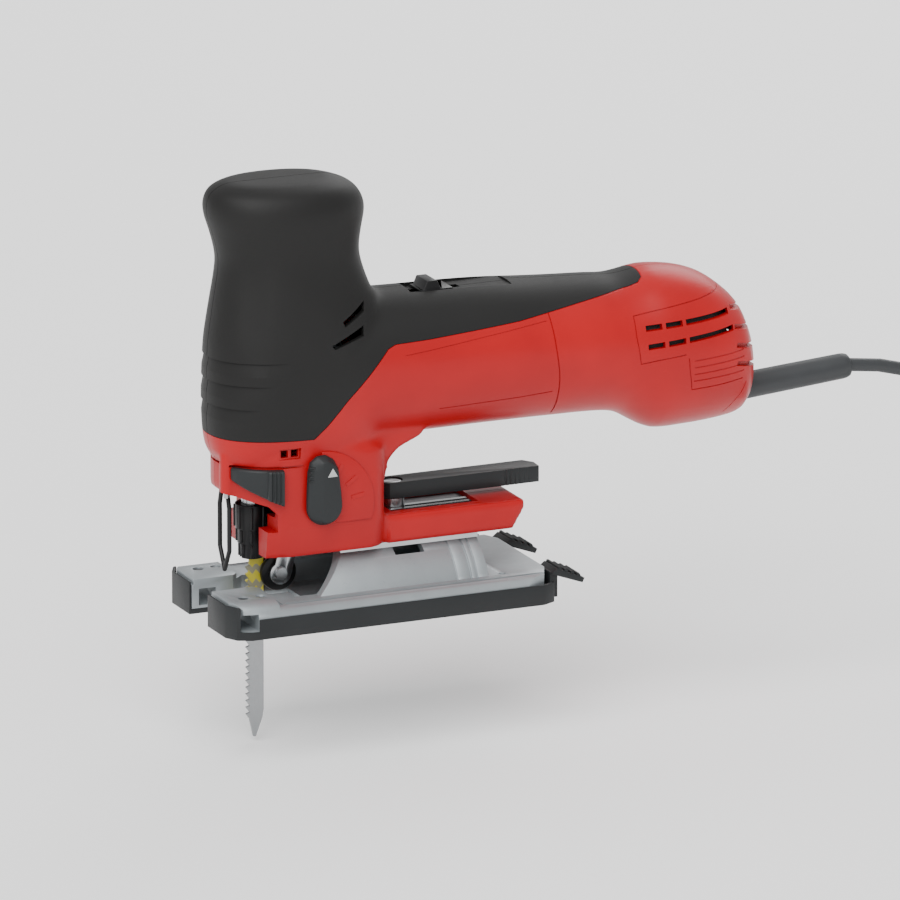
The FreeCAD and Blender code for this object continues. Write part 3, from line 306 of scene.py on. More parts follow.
def make_materials():
    look = bpy.context.scene.jigsaw_finish
    shell = tuple(look.shell)
    grip = tuple(look.grip)
    lever = tuple(look.lever)
    black = tuple(look.black)
    sole = tuple(look.sole)
    casting = tuple(look.casting)
    MATERIALS.update({
        "red_shell": moulded("red_shell", shell, 0.38, 0.7, 0.030, 0.06, 0.30),
        "soft_grip": moulded("soft_grip", grip, 0.56, 0.55, 0.045, 0.0, 0.4),
        "black_plastic": moulded("black_plastic", black, 0.34, 0.6, 0.015, 0.0, 0.3),
        "dark_plastic": moulded("dark_plastic", lever, 0.46, 0.6, 0.03, 0.0, 0.5),
        "sole_plastic": moulded("sole_plastic", sole, 0.50, 0.6, 0.03, 0.0, 0.7),
        "carbon": moulded("carbon", (0.03, 0.03, 0.03), 0.6, 0.5, 0.02, 0.0, 0.5),
        "switch_red": moulded("switch_red", shade(shell, 0.9), 0.4, 0.6, 0.02, 0.0, 0.3),
        "dark_screw": metal("dark_screw", (0.10, 0.10, 0.105), 0.42),
        "screw_steel": metal("screw_steel", (0.42, 0.43, 0.44), 0.30),
        "gear_steel": metal("gear_steel", (0.36, 0.37, 0.38), 0.34),
        "bright_steel": metal("bright_steel", (0.44, 0.45, 0.46), 0.24, (0.12, 1, 1)),
        "bronze": metal("bronze", (0.66, 0.44, 0.20), 0.36),
        "copper": metal("copper", (0.70, 0.32, 0.16), 0.35, (0.2, 1, 1)),
        "core_steel": metal("core_steel", (0.33, 0.33, 0.35), 0.45, (3, 0.1, 0.1)),
        "cast_case": metal("cast_case", shade(casting, 1.1), 0.48, (1, 1, 1), 0.7, 0.03, 0.9),
        "cast_base": metal("cast_base", casting, 0.44, (0.35, 1, 1), 0.7, 0.02, 0.55, 0.35),
        "coated_wire": moulded("coated_wire", shade(black, 1.4), 0.38, 0.5, 0.02, 0.0, 0.6),
        "pale_print": moulded("pale_print", (0.42, 0.43, 0.42), 0.5, 0.6, 0.01, 0.0, 0.3),
        "blade_paint": blade_finish(tuple(look.blade)),
        "cord_rubber": cord_finish(tuple(look.cord)),
    })


SLOT_OF = {part["node"]: part["material_slot"] for part in frame["record"]["subparts"]}
LOOK_OF = dict(SLOT_OF, overshoe="sole_plastic")


def dress(node, look=None):
    """Give a CAD node its finish."""
    piece = frame["nodes"][node]
    material = MATERIALS[look or LOOK_OF[node]]
    if piece.data.materials:
        piece.data.materials[0] = material
    else:
        piece.data.materials.append(material)


# ---- mesh helpers ------------------------------------------------------------------------------

def temporary(bm, name="temporary"):
    """An unlinked-from-the-model object used only to cut or join other shapes."""
    bmesh.ops.recalc_face_normals(bm, faces=bm.faces)
    mesh = bpy.data.meshes.new(name)
    bm.to_mesh(mesh)
    bm.free()
    tool = bpy.data.objects.new(name, mesh)
    bpy.context.scene.collection.objects.link(tool)
    return tool


def discard(*tools):
    for tool in tools:
        mesh = tool.data
        bpy.data.objects.remove(tool)
        bpy.data.meshes.remove(mesh)


def apply_modifiers(piece):
    bpy.context.view_layer.update()
    evaluated = piece.evaluated_get(bpy.context.evaluated_depsgraph_get())
    mesh = bpy.data.meshes.new_from_object(evaluated)
    piece.modifiers.clear()
    old = piece.data
    piece.data = mesh
    bpy.data.meshes.remove(old)


def combine(piece, tools, operation):
    """Cut piece with each tool, or keep what they share."""
    for tool in tools:
        modifier = piece.modifiers.new("join", "BOOLEAN")
        modifier.operation = operation
        modifier.solver = "EXACT"
        modifier.object = tool
    apply_modifiers(piece)


def cut_all(piece, tools):
    """Cut piece with a whole set of tools at once."""
    group = bpy.data.collections.new("cutters")
    for tool in tools:
        group.objects.link(tool)
    modifier = piece.modifiers.new("cut", "BOOLEAN")
    modifier.operation = "DIFFERENCE"
    modifier.solver = "EXACT"
    modifier.operand_type = "COLLECTION"
    modifier.collection = group
    apply_modifiers(piece)
    bpy.data.collections.remove(group)


def block(bm, x0, x1, y0, y1, z0, z1):
    made = bmesh.ops.create_cube(bm, size=1.0)["verts"]
    bmesh.ops.scale(bm, verts=made, vec=((x1 - x0) * MM, (y1 - y0) * MM, (z1 - z0) * MM))
    middle = Vector(((x0 + x1) / 2, (y0 + y1) / 2, (z0 + z1) / 2)) * MM
    bmesh.ops.translate(bm, verts=made, vec=middle)
    return made


TURN_TO = {"x": Matrix.Rotation(math.pi / 2, 4, "Y"), "y": Matrix.Rotation(-math.pi / 2, 4, "X"),
           "z": Matrix.Identity(4)}


def rod(bm, axis, start, end, across, radius, sides=48, radius_end=None):
    """A closed round bar along an axis; across gives its other two coordinates in x, y, z order."""
    made = bmesh.ops.create_cone(bm, cap_ends=True, segments=sides, radius1=radius * MM,
                                 radius2=(radius if radius_end is None else radius_end) * MM,
                                 depth=abs(end - start) * MM)["verts"]
    bmesh.ops.transform(bm, matrix=TURN_TO[axis], verts=made)
    place = list(across)
    place.insert("xyz".index(axis), (start + end) / 2)
    bmesh.ops.translate(bm, verts=made, vec=Vector(place) * MM)
    return made


def loft(bm, stations):
    """Skin a row of closed loops, each a list of points in millimetres, and close both ends."""
    loops = []
    for points in stations:
        made = bmesh.ops.create_circle(bm, segments=len(points), radius=1.0)["verts"]
        for vert, point in zip(made, points):
            vert.co = Vector(point) * MM
        loops.append(list({edge for vert in made for edge in vert.link_edges}))
    for first, second in zip(loops, loops[1:]):
        bmesh.ops.bridge_loops(bm, edges=first + second)
    for ring in (loops[0], loops[-1]):
        bmesh.ops.edgeloop_fill(bm, edges=ring)


def slab(bm, outline, y0, y1):
    """A side outline of (x, z) points, drawn across the tool from y0 to y1."""
    loft(bm, [[(x, y0, z) for x, z in outline], [(x, y1, z) for x, z in outline]])


def oval(half_a, half_b, squareness, count):
    points = []
    for step in range(count):
        angle = 2 * math.pi * step / count
        c = math.cos(angle)
        s = math.sin(angle)
        points.append((half_a * math.copysign(abs(c) ** (2 / squareness), c),
                       half_b * math.copysign(abs(s) ** (2 / squareness), s)))
    return points


def sample(table, place):
    """A smooth reading of a table of sections at a place in its first column."""
    rows = len(table)
    at = 0
    while at < rows - 2 and table[at + 1][0] < place:
        at += 1
    before = table[max(0, at - 1)]
    here = table[at]
    after = table[at + 1]
    beyond = table[min(rows - 1, at + 2)]
    width = after[0] - here[0]
    t = (place - here[0]) / width
    values = [place]
    for a, b, c, d, xa, xd in zip(before[1:], here[1:], after[1:], beyond[1:],
                                  [before[0]] * 9, [beyond[0]] * 9):
        slope_b = (c - a) / (after[0] - xa) * width
        slope_c = (d - b) / (xd - here[0]) * width
        values.append((2 * t ** 3 - 3 * t ** 2 + 1) * b + (t ** 3 - 2 * t ** 2 + t) * slope_b
                      + (-2 * t ** 3 + 3 * t ** 2) * c + (t ** 3 - t ** 2) * slope_c)
    return values


def stops(table, step):
    """Places from the table's first to last row, no further apart than step, rows included."""
    places = []
    for here, after in zip(table, table[1:]):
        count = max(1, math.ceil((after[0] - here[0]) / step))
        places += [here[0] + (after[0] - here[0]) * k / count for k in range(count)]
    return places + [table[-1][0]]


def column_ring(z, inset, count=64):
    height, middle, a, b, squareness = sample(COLUMN, z)
    lift = z - inset * max(0.0, z - 180) / 13.0
    return [(middle + p, q, lift) for p, q in oval(a - inset, b - inset, squareness, count)]


def barrel_ring(x, inset, count=64):
    place, middle, tall, wide = sample(BARREL, x)
    along = x - inset * max(0.0, x - 220) / 13.0
    return [(along, p, middle + q) for p, q in oval(wide - inset, tall - inset, BARREL_SQUARENESS, count)]


def barrel_side(x, z):
    """How far out the left side of the barrel lies at a place."""
    place, middle, tall, wide = sample(BARREL, min(x, 230.0))
    share = max(0.0, 1 - abs((z - middle) / tall) ** BARREL_SQUARENESS)
    return -wide * share ** (1 / BARREL_SQUARENESS)


def shell_form(bm, inset):
    """The whole outer shape of the housing, drawn in by inset millimetres."""
    loft(bm, [column_ring(z, inset) for z in stops(COLUMN, 3.0)])
    loft(bm, [barrel_ring(x, inset) for x in stops(BARREL, 4.0)])
    middle, a, b = NOSE
    low = 29.9 if inset == 0 else 45.0
    ring = oval(a - inset, b - inset, 2.0, 64)
    loft(bm, [[(middle + p, q, z) for p, q in ring] for z in (low + inset, 76.0 - inset)])
    corner = 8.0
    half = b - inset
    back = 54.5 - inset
    outline = [(10.0, -half), (back - corner, -half)]
    outline += [(back - corner + corner * math.sin(t * math.pi / 12),
                 -half + corner - corner * math.cos(t * math.pi / 12)) for t in range(1, 7)]
    outline += [(x, -y) for x, y in outline[::-1]]
    loft(bm, [[(x, y, z) for x, y in outline] for z in (low + inset, 76.0)])


def outer_shell():
    bm = bmesh.new()
    shell_form(bm, 0)
    slab(bm, [(48.0, 58.0), (54.5, 58.0), (57.0, 66.0), (62.0, 71.5), (72.0, 76.0), (76.0, 82.0), (48.0, 82.0)],
         -18, 18)
    slab(bm, [(20.0, 29.9), (115.0, 29.9), (120.5, 39.1), (120.5, 42.6), (20.0, 42.6)], -19.5, 19.5)
    rod(bm, "z", 54.8, 74.6, LEVER_PIN, 3.0)
    middle, a, b = NOSE
    arc = [math.radians(146 + 6 * step) for step in range(10)]
    plan = [(middle + (a + 1.8) * math.cos(t), (b + 1.8) * math.sin(t)) for t in arc]
    plan += [(middle + (a - 2) * math.cos(t), (b - 2) * math.sin(t)) for t in reversed(arc)]
    loft(bm, [[(x, y, z) for x, y in plan] for z in (58.6, 70.4)])
    form = temporary(bm, "outer")
    remesh = form.modifiers.new("skin", "REMESH")
    remesh.mode = "VOXEL"
    remesh.voxel_size = bpy.context.scene.jigsaw_sizes.cell
    even = form.modifiers.new("even", "SMOOTH")
    even.factor = 0.5
    even.iterations = 3
    apply_modifiers(form)
    blend = form.vertex_groups.new(name="blend")
    for vert in form.data.vertices:
        x, y, z = vert.co / MM
        joint = max(0.0, 1 - abs(x - 52) / 24) if z > 64 else 0.0
        top = max(0.0, min(1.0, (z - 180) / 6))
        foot = 0.22 if z < 46 and x > 56 else 0.0
        fall = min(1.0, max(joint * 1.6, top, 0.35 if z > 78 else 0.0, foot))
        blend.add([vert.index], fall, "REPLACE")
    soften = form.modifiers.new("soften", "SMOOTH")
    soften.factor = 0.5
    soften.iterations = 30
    soften.vertex_group = "blend"
    apply_modifiers(form)
    return form


def inner_shell():
    bm = bmesh.new()
    shell_form(bm, bpy.context.scene.jigsaw_sizes.wall / MM)
    form = temporary(bm, "inner")
    remesh = form.modifiers.new("skin", "REMESH")
    remesh.mode = "VOXEL"
    remesh.voxel_size = 2.4 * MM
    even = form.modifiers.new("even", "SMOOTH")
    even.iterations = 3
    apply_modifiers(form)
    return form


def cutter(shapes):
    """A cutting tool from one call that fills a bmesh."""
    bm = bmesh.new()
    shapes(bm)
    return temporary(bm, "cutter")


def groove(bm, points, width, depth, out=1.2):
    """A narrow channel along points of the left side of the barrel."""
    stations = []
    for at, (x, z) in enumerate(points):
        ahead = points[min(at + 1, len(points) - 1)]
        behind = points[max(at - 1, 0)]
        run = Vector((ahead[0] - behind[0], 0, ahead[1] - behind[1])).normalized()
        place = Vector((x, barrel_side(x, z), z))
        across_x = Vector((0.5, barrel_side(x + 0.25, z) - barrel_side(x - 0.25, z), 0))
        across_z = Vector((0, barrel_side(x, z + 0.25) - barrel_side(x, z - 0.25), 0.5))
        normal = across_x.cross(across_z).normalized()
        if normal.y > 0:
            normal = -normal
        side = run.cross(normal).normalized() * width / 2
        stations.append([place + side + normal * out, place - side + normal * out,
                         place - side * 0.6 - normal * depth, place + side * 0.6 - normal * depth])
    loft(bm, stations)


def along(points, step=3.0):
    """Extra points on the straight runs of a polyline of (x, z) points."""
    path = []
    for (x0, z0), (x1, z1) in zip(points, points[1:]):
        count = max(1, math.ceil(math.hypot(x1 - x0, z1 - z0) / step))
        path += [(x0 + (x1 - x0) * k / count, z0 + (z1 - z0) * k / count) for k in range(count)]
    return path + [points[-1]]


def ring_groove(bm, point, high, low, depth_high, depth_low, steps=48, fade=0.12):
    """A channel round the front of a shape; point(share, z, inset) gives x and y, share from 0 to 1."""
    stations = []
    for step in range(steps + 1):
        share = step / steps
        ease = max(0.02, min(1.0, share / fade, (1 - share) / fade))
        corners = []
        for z, inset in ((high, -3.0), (low, -3.0), (low, depth_low * ease), (high, depth_high * ease)):
            x, y = point(share, z, inset)
            corners.append((x, y, z))
        stations.append(corners)
    loft(bm, stations)


def column_arc(reach):
    """Points round the front of the column, from its left side at x = reach to its right side."""
    def point(share, z, inset):
        height, middle, a, b, squareness = sample(COLUMN, z)
        limit = math.acos(max(-1.0, min(1.0, (reach - middle) / a)))
        angle = math.pi + (math.pi - limit) * (1 - 2 * share)
        c = math.cos(angle)
        s = math.sin(angle)
        return (middle + (a - inset) * math.copysign(abs(c) ** (2 / squareness), c),
                (b - inset) * math.copysign(abs(s) ** (2 / squareness), s))
    return point


def nose_arc(share, z, inset):
    middle, a, b = NOSE
    angle = math.pi + math.radians(100) * (1 - 2 * share)
    return middle + (a - inset) * math.cos(angle), (b - inset) * math.sin(angle)


def grip_zone(bm, grow=0.0):
    """Everything above the soft grip's lower border."""
    slab(bm, [(x + grow, z - grow) if z < 140 and x > -30 else (x, z - grow if z < 140 else z)
              for x, z in GRIP_BORDER], -60, 60)


HEAD_HOLES = [(44.0, 86.0, 18.5), (-11.0, 96.0, 16.4), (42.0, 172.0, 13.2), (-9.0, 172.0, 13.6),
              (74.0, 81.0, 14.6), (150.0, 82.5, 17.0), (184.0, 72.5, 17.0), (220.0, 108.0, 18.5),
              (46.0, 56.0, 18.5)]


def head_holes(bm):
    for x, z, head in HEAD_HOLES:
        rod(bm, "y", head, 60, (x, z), 3.6, 32)


def seam(bm):
    half = bpy.context.scene.jigsaw_sizes.seam / MM / 2
    block(bm, -60, 260, -half, half, 0, 220)


def column_vents(bm):
    slab(bm, [(32.0, 133.0), (44.5, 140.0), (43.5, 135.6), (33.0, 130.6)], -45, 45)
    slab(bm, [(26.0, 123.5), (42.5, 130.0), (42.0, 125.5), (27.5, 121.6)], -45, 45)


def motor_vents(bm):
    rows = ((173.4, 114.0, 214.9, 116.4), (173.8, 106.1, 216.0, 109.6))
    for x0, z0, x1, z1 in rows:
        for a, b in ((0.0, 0.18), (0.22, 0.41), (0.45, 1.0)):
            low0 = z0 + (z1 - z0) * a
            low1 = z0 + (z1 - z0) * b
            here = x0 + (x1 - x0) * a
            there = x0 + (x1 - x0) * b
            slab(bm, [(here, low0), (there, low1), (there, low1 + 2.5), (here, low0 + 2.5)], -45, 45)


def rear_grooves(bm):
    """Channels between the fins that wrap the rear end."""
    for z0 in (118.4, 110.8, 103.0, 95.0):
        stations = []
        for step in range(29):
            share = step / 28 * 2 - 1
            x = 217.0 + 12.6 * (1 - abs(share) ** 2.4)
            z = z0 - 3.0 * (x - 217.0) / 12.6
            y = math.copysign(abs(barrel_side(x, z)), share) if abs(share) > 0.02 else 0.0
            out = Vector((0.6 * (1 - abs(share)) + 0.25, math.copysign(abs(share), share), 0)).normalized()
            place = Vector((x, y, z))
            rise = Vector((0.3, 0, 0.9))
            stations.append([place + out * 4 + rise * 2.4, place + out * 4 - rise * 1.6,
                             place - out * 2.2 - rise * 0.7, place - out * 2.2 + rise * 0.9])
        loft(bm, stations)


def panel_lines(bm):
    lines = [
        ([(129.2, 126.6), (129.9, 117.8), (130.5, 110.6), (131.4, 103.9), (132.1, 98.7), (132.7, 89.2),
          (133.5, 79.4)], 0.8, 0.55),
        ([(60.0, 115.8), (74.4, 117.3), (95.0, 119.7), (127.6, 123.2)], 0.5, 0.30),
        ([(77.0, 89.7), (95.6, 90.4), (114.3, 91.0), (129.6, 92.0)], 0.6, 0.35),
        ([(222.0, 127.0), (200.9, 124.6), (185.7, 123.0), (168.8, 120.7), (168.7, 112.6), (170.4, 100.2),
          (180.6, 101.7), (190.8, 102.8)], 0.7, 0.45),
        ([(220.5, 87.9), (207.4, 86.9), (194.4, 86.3), (192.7, 95.0), (192.2, 101.0)], 0.7, 0.45),
        ([(222.8, 85.5), (221.0, 80.5), (217.7, 76.2), (214.6, 71.2)], 0.7, 0.45),
    ]
    for points, width, depth in lines:
        groove(bm, along(points), width, depth)
    for step in range(4):
        z = 90.3 + 3.1 * step
        groove(bm, along([(195.0, z), (221.0, z + 1.2)]), 0.9, 0.4)
    twin = bmesh.ops.duplicate(bm, geom=bm.verts[:] + bm.edges[:] + bm.faces[:])["geom"]
    bmesh.ops.scale(bm, verts=[item for item in twin if isinstance(item, bmesh.types.BMVert)], vec=(1, -1, 1))


def rib_channels(bm):
    for high, low, reach in ((117.6, 111.8, 10.0), (107.6, 101.6, 3.5), (97.2, 91.6, -3.0)):
        ring_groove(bm, column_arc(reach), high, low, 1.0, 0.06)


def band_gap(bm):
    ring_groove(bm, nose_arc, 71.3, 70.3, 1.0, 1.0, fade=0.05)


def band_slot(bm):
    block(bm, 4.0, 7.3, -30, -18, 75.0, 78.3)
    block(bm, 8.7, 12.0, -30, -18, 75.0, 78.3)


def band_recess(bm):
    block(bm, 3.2, 12.8, -30, -22.9, 74.2, 79.1)


def shell_cutters():
    """Every opening in the red shell; each is a shape of its own."""
    shapes = [
        lambda bm: slab(bm, [(-30.0, 62.5), (-1.0, 53.5), (2.6, 50.0), (2.6, 42.0), (-1.5, 42.0),
                             (-1.5, 20.0), (-30.0, 20.0)], -40, 40),
        lambda bm: rod(bm, "z", 20.0, 78.5, (0, 0), 11.5),
        lambda bm: block(bm, 0, 12.0, -11.4, 11.4, 20.2, 78.3),
        lambda bm: block(bm, 5.0, 27.0, -8.0, 8.0, 20.4, 52.0),
        lambda bm: rod(bm, "x", 23.0, 103.0, (0, 0), 34.35, 96),
        lambda bm: block(bm, 60.0, 101.0, -13.0, 10.5, 40.2, 46.0),
        lambda bm: rod(bm, "z", 21.0, 60.0, (BOLT_X, 0), 3.1),
        lambda bm: block(bm, 71.0, 119.0, -8.5, 8.5, SWITCH_FLOOR - 4.0, 150.0),
        lambda bm: rod(bm, "y", -30, -9, SELECTOR, 3.2),
        lambda bm: rod(bm, "x", 221.0, 245.0, (0, 78.0), 6.2),
        motor_vents, rear_grooves, panel_lines, band_gap, band_slot, band_recess, head_holes, seam,
    ]
    return [cutter(shape) for shape in shapes]


def grip_cutters():
    shapes = [
        lambda bm: block(bm, 71.0, 119.0, -8.5, 8.5, SWITCH_FLOOR, 150.0),
        lambda bm: block(bm, 73.5, 97.0, -2.2, 2.2, 128.0, SWITCH_FLOOR + 2.0),
        column_vents, rib_channels, head_holes, seam,
    ]
    return [cutter(shape) for shape in shapes]


def shape_surface(form):
    """The shallow flutes down the sides of the knob, and the undercut along the bottom of the nose."""
    for vert in form.data.vertices:
        x, y, z = vert.co / MM
        if z > 116:
            along_flute = max(0.0, 1 - abs((z - 146) / 30) ** 3)
            pull = 1.1 * along_flute * math.exp(-((x + 6.0 - (z - 146) * 0.02) / 5.0) ** 2)
            vert.co.y -= math.copysign(pull * MM, y) if abs(y) > 8 else 0.0
        elif z < 43 and x < 56:
            vert.co.y *= 1 - 0.10 * (43 - z) / 13


def split_sides(form, name, material, nodes):
    """Make the left and right pieces from a shell that its seam has already parted."""
    pieces = []
    for side, label in ((-1, "left"), (1, "right")):
        bm = bmesh.new()
        bm.from_mesh(form.data)
        away = [v for v in bm.verts if v.co.y * side < 0]
        bmesh.ops.delete(bm, geom=away, context="VERTS")
        pieces.append(finished(bm, f"{name}_{label}_moulding", material, [n.format(label) for n in nodes], 38))
    return pieces


def finished(bm, name, material, nodes, sharp=32, body=None):
    """A finished piece from a bmesh, standing for the named CAD nodes and riding on their body."""
    mesh = bpy.data.meshes.new(name)
    bm.to_mesh(mesh)
    bm.free()
    piece = bpy.data.objects.new(name, mesh)
    bpy.context.scene.collection.objects.link(piece)
    mesh.materials.clear()
    mesh.materials.append(MATERIALS[material])
    mesh.shade_smooth()
    mesh.set_sharp_from_angle(angle=math.radians(sharp))
    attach(piece, body or BODY_OF[nodes[0]])
    if nodes:
        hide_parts(*nodes)
        material if material in SLOT_OF.values() else SLOT_OF[nodes[0]]
    return piece


def rounded(bm, radius, sharp=30, segments=2):
    """Merge a CAD copy's loose triangles into clean faces and round its sharp edges."""
    bmesh.ops.remove_doubles(bm, verts=bm.verts, dist=0.002 * MM)
    bmesh.ops.dissolve_limit(bm, angle_limit=math.radians(1.0), verts=bm.verts, edges=bm.edges,
                             use_dissolve_boundaries=False)
    edges = [e for e in bm.edges if e.is_manifold and e.calc_face_angle(0) > math.radians(sharp)]
    bmesh.ops.bevel(bm, geom=edges, offset=radius, offset_type="OFFSET", segments=segments, profile=0.5,
                    affect="EDGES", clamp_overlap=True, material=-1)
    bmesh.ops.recalc_face_normals(bm, faces=bm.faces)


def copy_of(*nodes):
    bm = bmesh.new()
    for node in nodes:
        bm.from_mesh(frame["nodes"][node].data)
    return bm


def rounded_piece(name, node, look=None, radius=None, sharp=30):
    bm = copy_of(node)
    rounded(bm, radius or bpy.context.scene.jigsaw_sizes.edge, sharp)
    return finished(bm, name, look or LOOK_OF[node], [node])


def soften(bm, radius, sharp=30, segments=2):
    """Round the sharp edges of a shape made here."""
    bmesh.ops.recalc_face_normals(bm, faces=bm.faces)
    edges = [e for e in bm.edges if e.is_manifold and e.calc_face_angle(0) > math.radians(sharp)]
    bmesh.ops.bevel(bm, geom=edges, offset=radius, offset_type="OFFSET", segments=segments, profile=0.5,
                    affect="EDGES", clamp_overlap=True, material=-1)


# release lever: angle round the nose and thickness; the last stretch is the ribbed finger block
LEVER_STATIONS = [(207.0, 2.6), (209.0, 3.2), (218.0, 3.3), (228.0, 3.3), (238.0, 3.3), (243.0, 3.3),
                  (245.0, 4.5), (247.2, 4.7), (247.6, 4.1), (248.8, 4.1), (249.2, 4.8), (250.4, 4.8),
                  (250.8, 4.2), (252.0, 4.2), (252.4, 4.8), (253.6, 4.8), (254.0, 4.2), (255.2, 4.2),
                  (255.6, 4.8), (258.0, 4.6)]


def hub_ring(bm, x0, x1, deep):
    """A shallow channel across the top of the base's round hub."""
    stations = []
    for step in range(41):
        angle = math.radians(18 + 144 * step / 40)
        c = math.cos(angle)
        s = math.sin(angle)
        low = HUB_RADIUS - deep
        high = HUB_RADIUS + 1.0
        stations.append([(x0, low * c, low * s), (x1, low * c, low * s), (x1, high * c, high * s),
                         (x0, high * c, high * s)])
    loft(bm, stations)


def base_lines():
    """Rings round the rear of the hub, lengthwise lines on the deck and a pit for a small screw."""
    shapes = [lambda bm: hub_ring(bm, 84.0, 84.8, 0.5), lambda bm: hub_ring(bm, 90.4, 91.4, 0.7),
              lambda bm: hub_ring(bm, 93.4, 94.2, 0.5), lambda bm: rod(bm, "z", 12.0, 16.0, (106.0, -27.0), 1.6)]
    for side in (-1, 1):
        for y, deep in ((31.2, 0.5), (35.0, 0.45)):
            shapes.append(lambda bm, y=y * side, deep=deep:
                          block(bm, 3.0, 104.0, y - 0.35, y + 0.35, DECK_TOP - deep, 16.0))
    shapes.append(lambda bm: slab(bm, [(-2.4, 12.55), (0.4, 12.55), (0.4, 16.0), (-2.4, 16.0)], 17.0, 33.0))
    shapes.append(lambda bm: slab(bm, [(-2.4, 12.55), (0.4, 12.55), (0.4, 16.0), (-2.4, 16.0)], -33.0, -17.0))
    return [cutter(shape) for shape in shapes]


def clip_on_sole():
    """The plastic sole, with grip ridges on its two rear hooks."""
    bm = copy_of("overshoe")
    rounded(bm, 0.5 * MM)
    low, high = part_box("overshoe")
    rear = high.x / MM - 14.0
    for side in (-1, 1):
        for step in range(4):
            x = rear + 2.2 + 2.9 * step
            z = DECK_TOP + 0.3 - (x - rear - 1.0) * 0.43
            profile = [(x - 0.9, z - 1.0), (x + 1.3, z - 1.6), (x + 1.1, z + 0.7), (x + 0.4, z + 1.5),
                       (x - 0.4, z + 1.3)]
            slab(bm, profile, 25.0 * side - 6.6, 25.0 * side + 6.6)
    bmesh.ops.recalc_face_normals(bm, faces=bm.faces)
    return finished(bm, "clip_on_sole", "sole_plastic", ["overshoe"])


def recess_floor():
    """The dark sheet metal round the bolt in the foot's recess."""
    bm = bmesh.new()
    block(bm, 60.3, 62.4, -12.7, 10.2, 40.15, 40.55)
    block(bm, 70.2, 100.7, -12.7, 10.2, 40.15, 40.55)
    floor = finished(bm, "recess_floor", "dark_screw", [], body=BODY_OF["housing_left"])
    return floor


def vent_screen():
    """A dark sheet behind the air slots of the motor housing: painted shade for the dark inside seen through the
    slots.
    """
    bm = bmesh.new()
    loft(bm, [barrel_ring(x, 3.6) for x in (171.0, 178.0, 186.0, 196.0, 206.0, 214.0)])
    ends = [f for f in bm.faces if len(f.verts) > 4]
    bmesh.ops.delete(bm, geom=ends, context="FACES_ONLY")
    bmesh.ops.recalc_face_normals(bm, faces=bm.faces)
    shade_sheet = finished(bm, "vent_screen", "carbon", [], body=BODY_OF["housing_left"])
    wall = shade_sheet.modifiers.new("wall", "SOLIDIFY")
    wall.thickness = 0.5 * MM
    wall.offset = -1.0
    apply_modifiers(shade_sheet)
    return shade_sheet


def release_lever():
    bm = bmesh.new()
    middle, a, b = NOSE
    stations = []
    for angle, thick in LEVER_STATIONS:
        c = math.cos(math.radians(angle))
        s = math.sin(math.radians(angle))
        low = 64.8 - 10.3 * (angle - 207.0) / 51.0
        inner = (middle + (a + 0.5) * c, (b + 0.5) * s)
        outer = (middle + (a + thick) * c, (b + thick) * s)
        edge = (middle + (a + thick - 0.7) * c, (b + thick - 0.7) * s)
        stations.append([(*inner, low), (*edge, low), (*outer, low + 0.9), (*outer, 69.5), (*edge, 70.3),
                         (*inner, 70.3)])
    loft(bm, stations)
    soften(bm, 0.22 * MM, 40)
    return finished(bm, "blade_release_lever", "dark_plastic", ["release_lever"])


def selector_knob():
    """A turn knob: low round lobe and arm, with a tall tapered grip along its right side."""
    bm = bmesh.new()
    x, z = SELECTOR
    outline = [(x + 8.3 * math.cos(math.radians(t)) + 0.4, z + 8.3 * math.sin(math.radians(t)) + 0.3)
               for t in range(175, 366, 10)]
    outline += [(x + 8.2, z + 6.0), (x + 6.8, z + 17.0), (x + 4.6, z + 21.0), (x + 1.0, z + 23.2),
                (x - 3.0, z + 23.0), (x - 6.2, z + 20.6), (x - 7.4, z + 16.0), (x - 7.8, z + 6.0)]
    foot = [(px, -25.2, pz) for px, pz in outline]
    lip = [(px, -26.6, pz) for px, pz in outline]
    shoulder = [(x + (px - x) * 0.93, -27.5, z + 6 + (pz - z - 6) * 0.96) for px, pz in outline]
    crest = [(x + 1.9 + max(-3.6, (px - x - 1.9) * 0.74), -30.2, z + 6 + (pz - z - 6) * 0.86)
             for px, pz in outline]
    loft(bm, [foot, lip, shoulder, crest])
    soften(bm, 0.55 * MM, 24)
    body = finished(bm, "selector_knob", "dark_plastic", ["orbit_selector"])
    mark = bmesh.new()
    corners = [(x + 0.4, z + 14.2), (x + 5.0, z + 14.2), (x + 2.7, z + 18.0)]
    slab(mark, corners, -30.05, -30.3)
    soften(mark, 0.05 * MM)
    pointer = finished(mark, "selector_pointer", "pale_print", [], body=BODY_OF["orbit_selector"])
    ribs = bmesh.new()
    for step in range(4):
        low = z + 12.4 + 1.9 * step
        slab(ribs, [(x - 7.2, low), (x - 3.4, low), (x - 3.4, low + 0.8), (x - 7.2, low + 0.8)], -26.8, -28.4)
    soften(ribs, 0.15 * MM)
    grip = finished(ribs, "selector_ribs", "dark_plastic", [], body=BODY_OF["orbit_selector"])
    return body


def selector_sector():
    """The red quarter plate behind the knob, rimmed, with three raised position bars."""
    bm = copy_of("selector_plate")
    rounded(bm, 0.3 * MM)
    x, z = SELECTOR
    for angle in (62, 36, 10):
        t = math.radians(angle)
        run = Vector((math.cos(t), 0, math.sin(t)))
        across = Vector((-math.sin(t), 0, math.cos(t))) * 0.9
        places = [Vector((x, 0, z)) + run * 14.0 - across, Vector((x, 0, z)) + run * 20.0 - across,
                  Vector((x, 0, z)) + run * 20.0 + across, Vector((x, 0, z)) + run * 14.0 + across]
        slab(bm, [(p.x, p.z) for p in places], -24.7, -25.15)
    bmesh.ops.recalc_face_normals(bm, faces=bm.faces)
    return finished(bm, "selector_sector", "red_shell", ["selector_plate"])


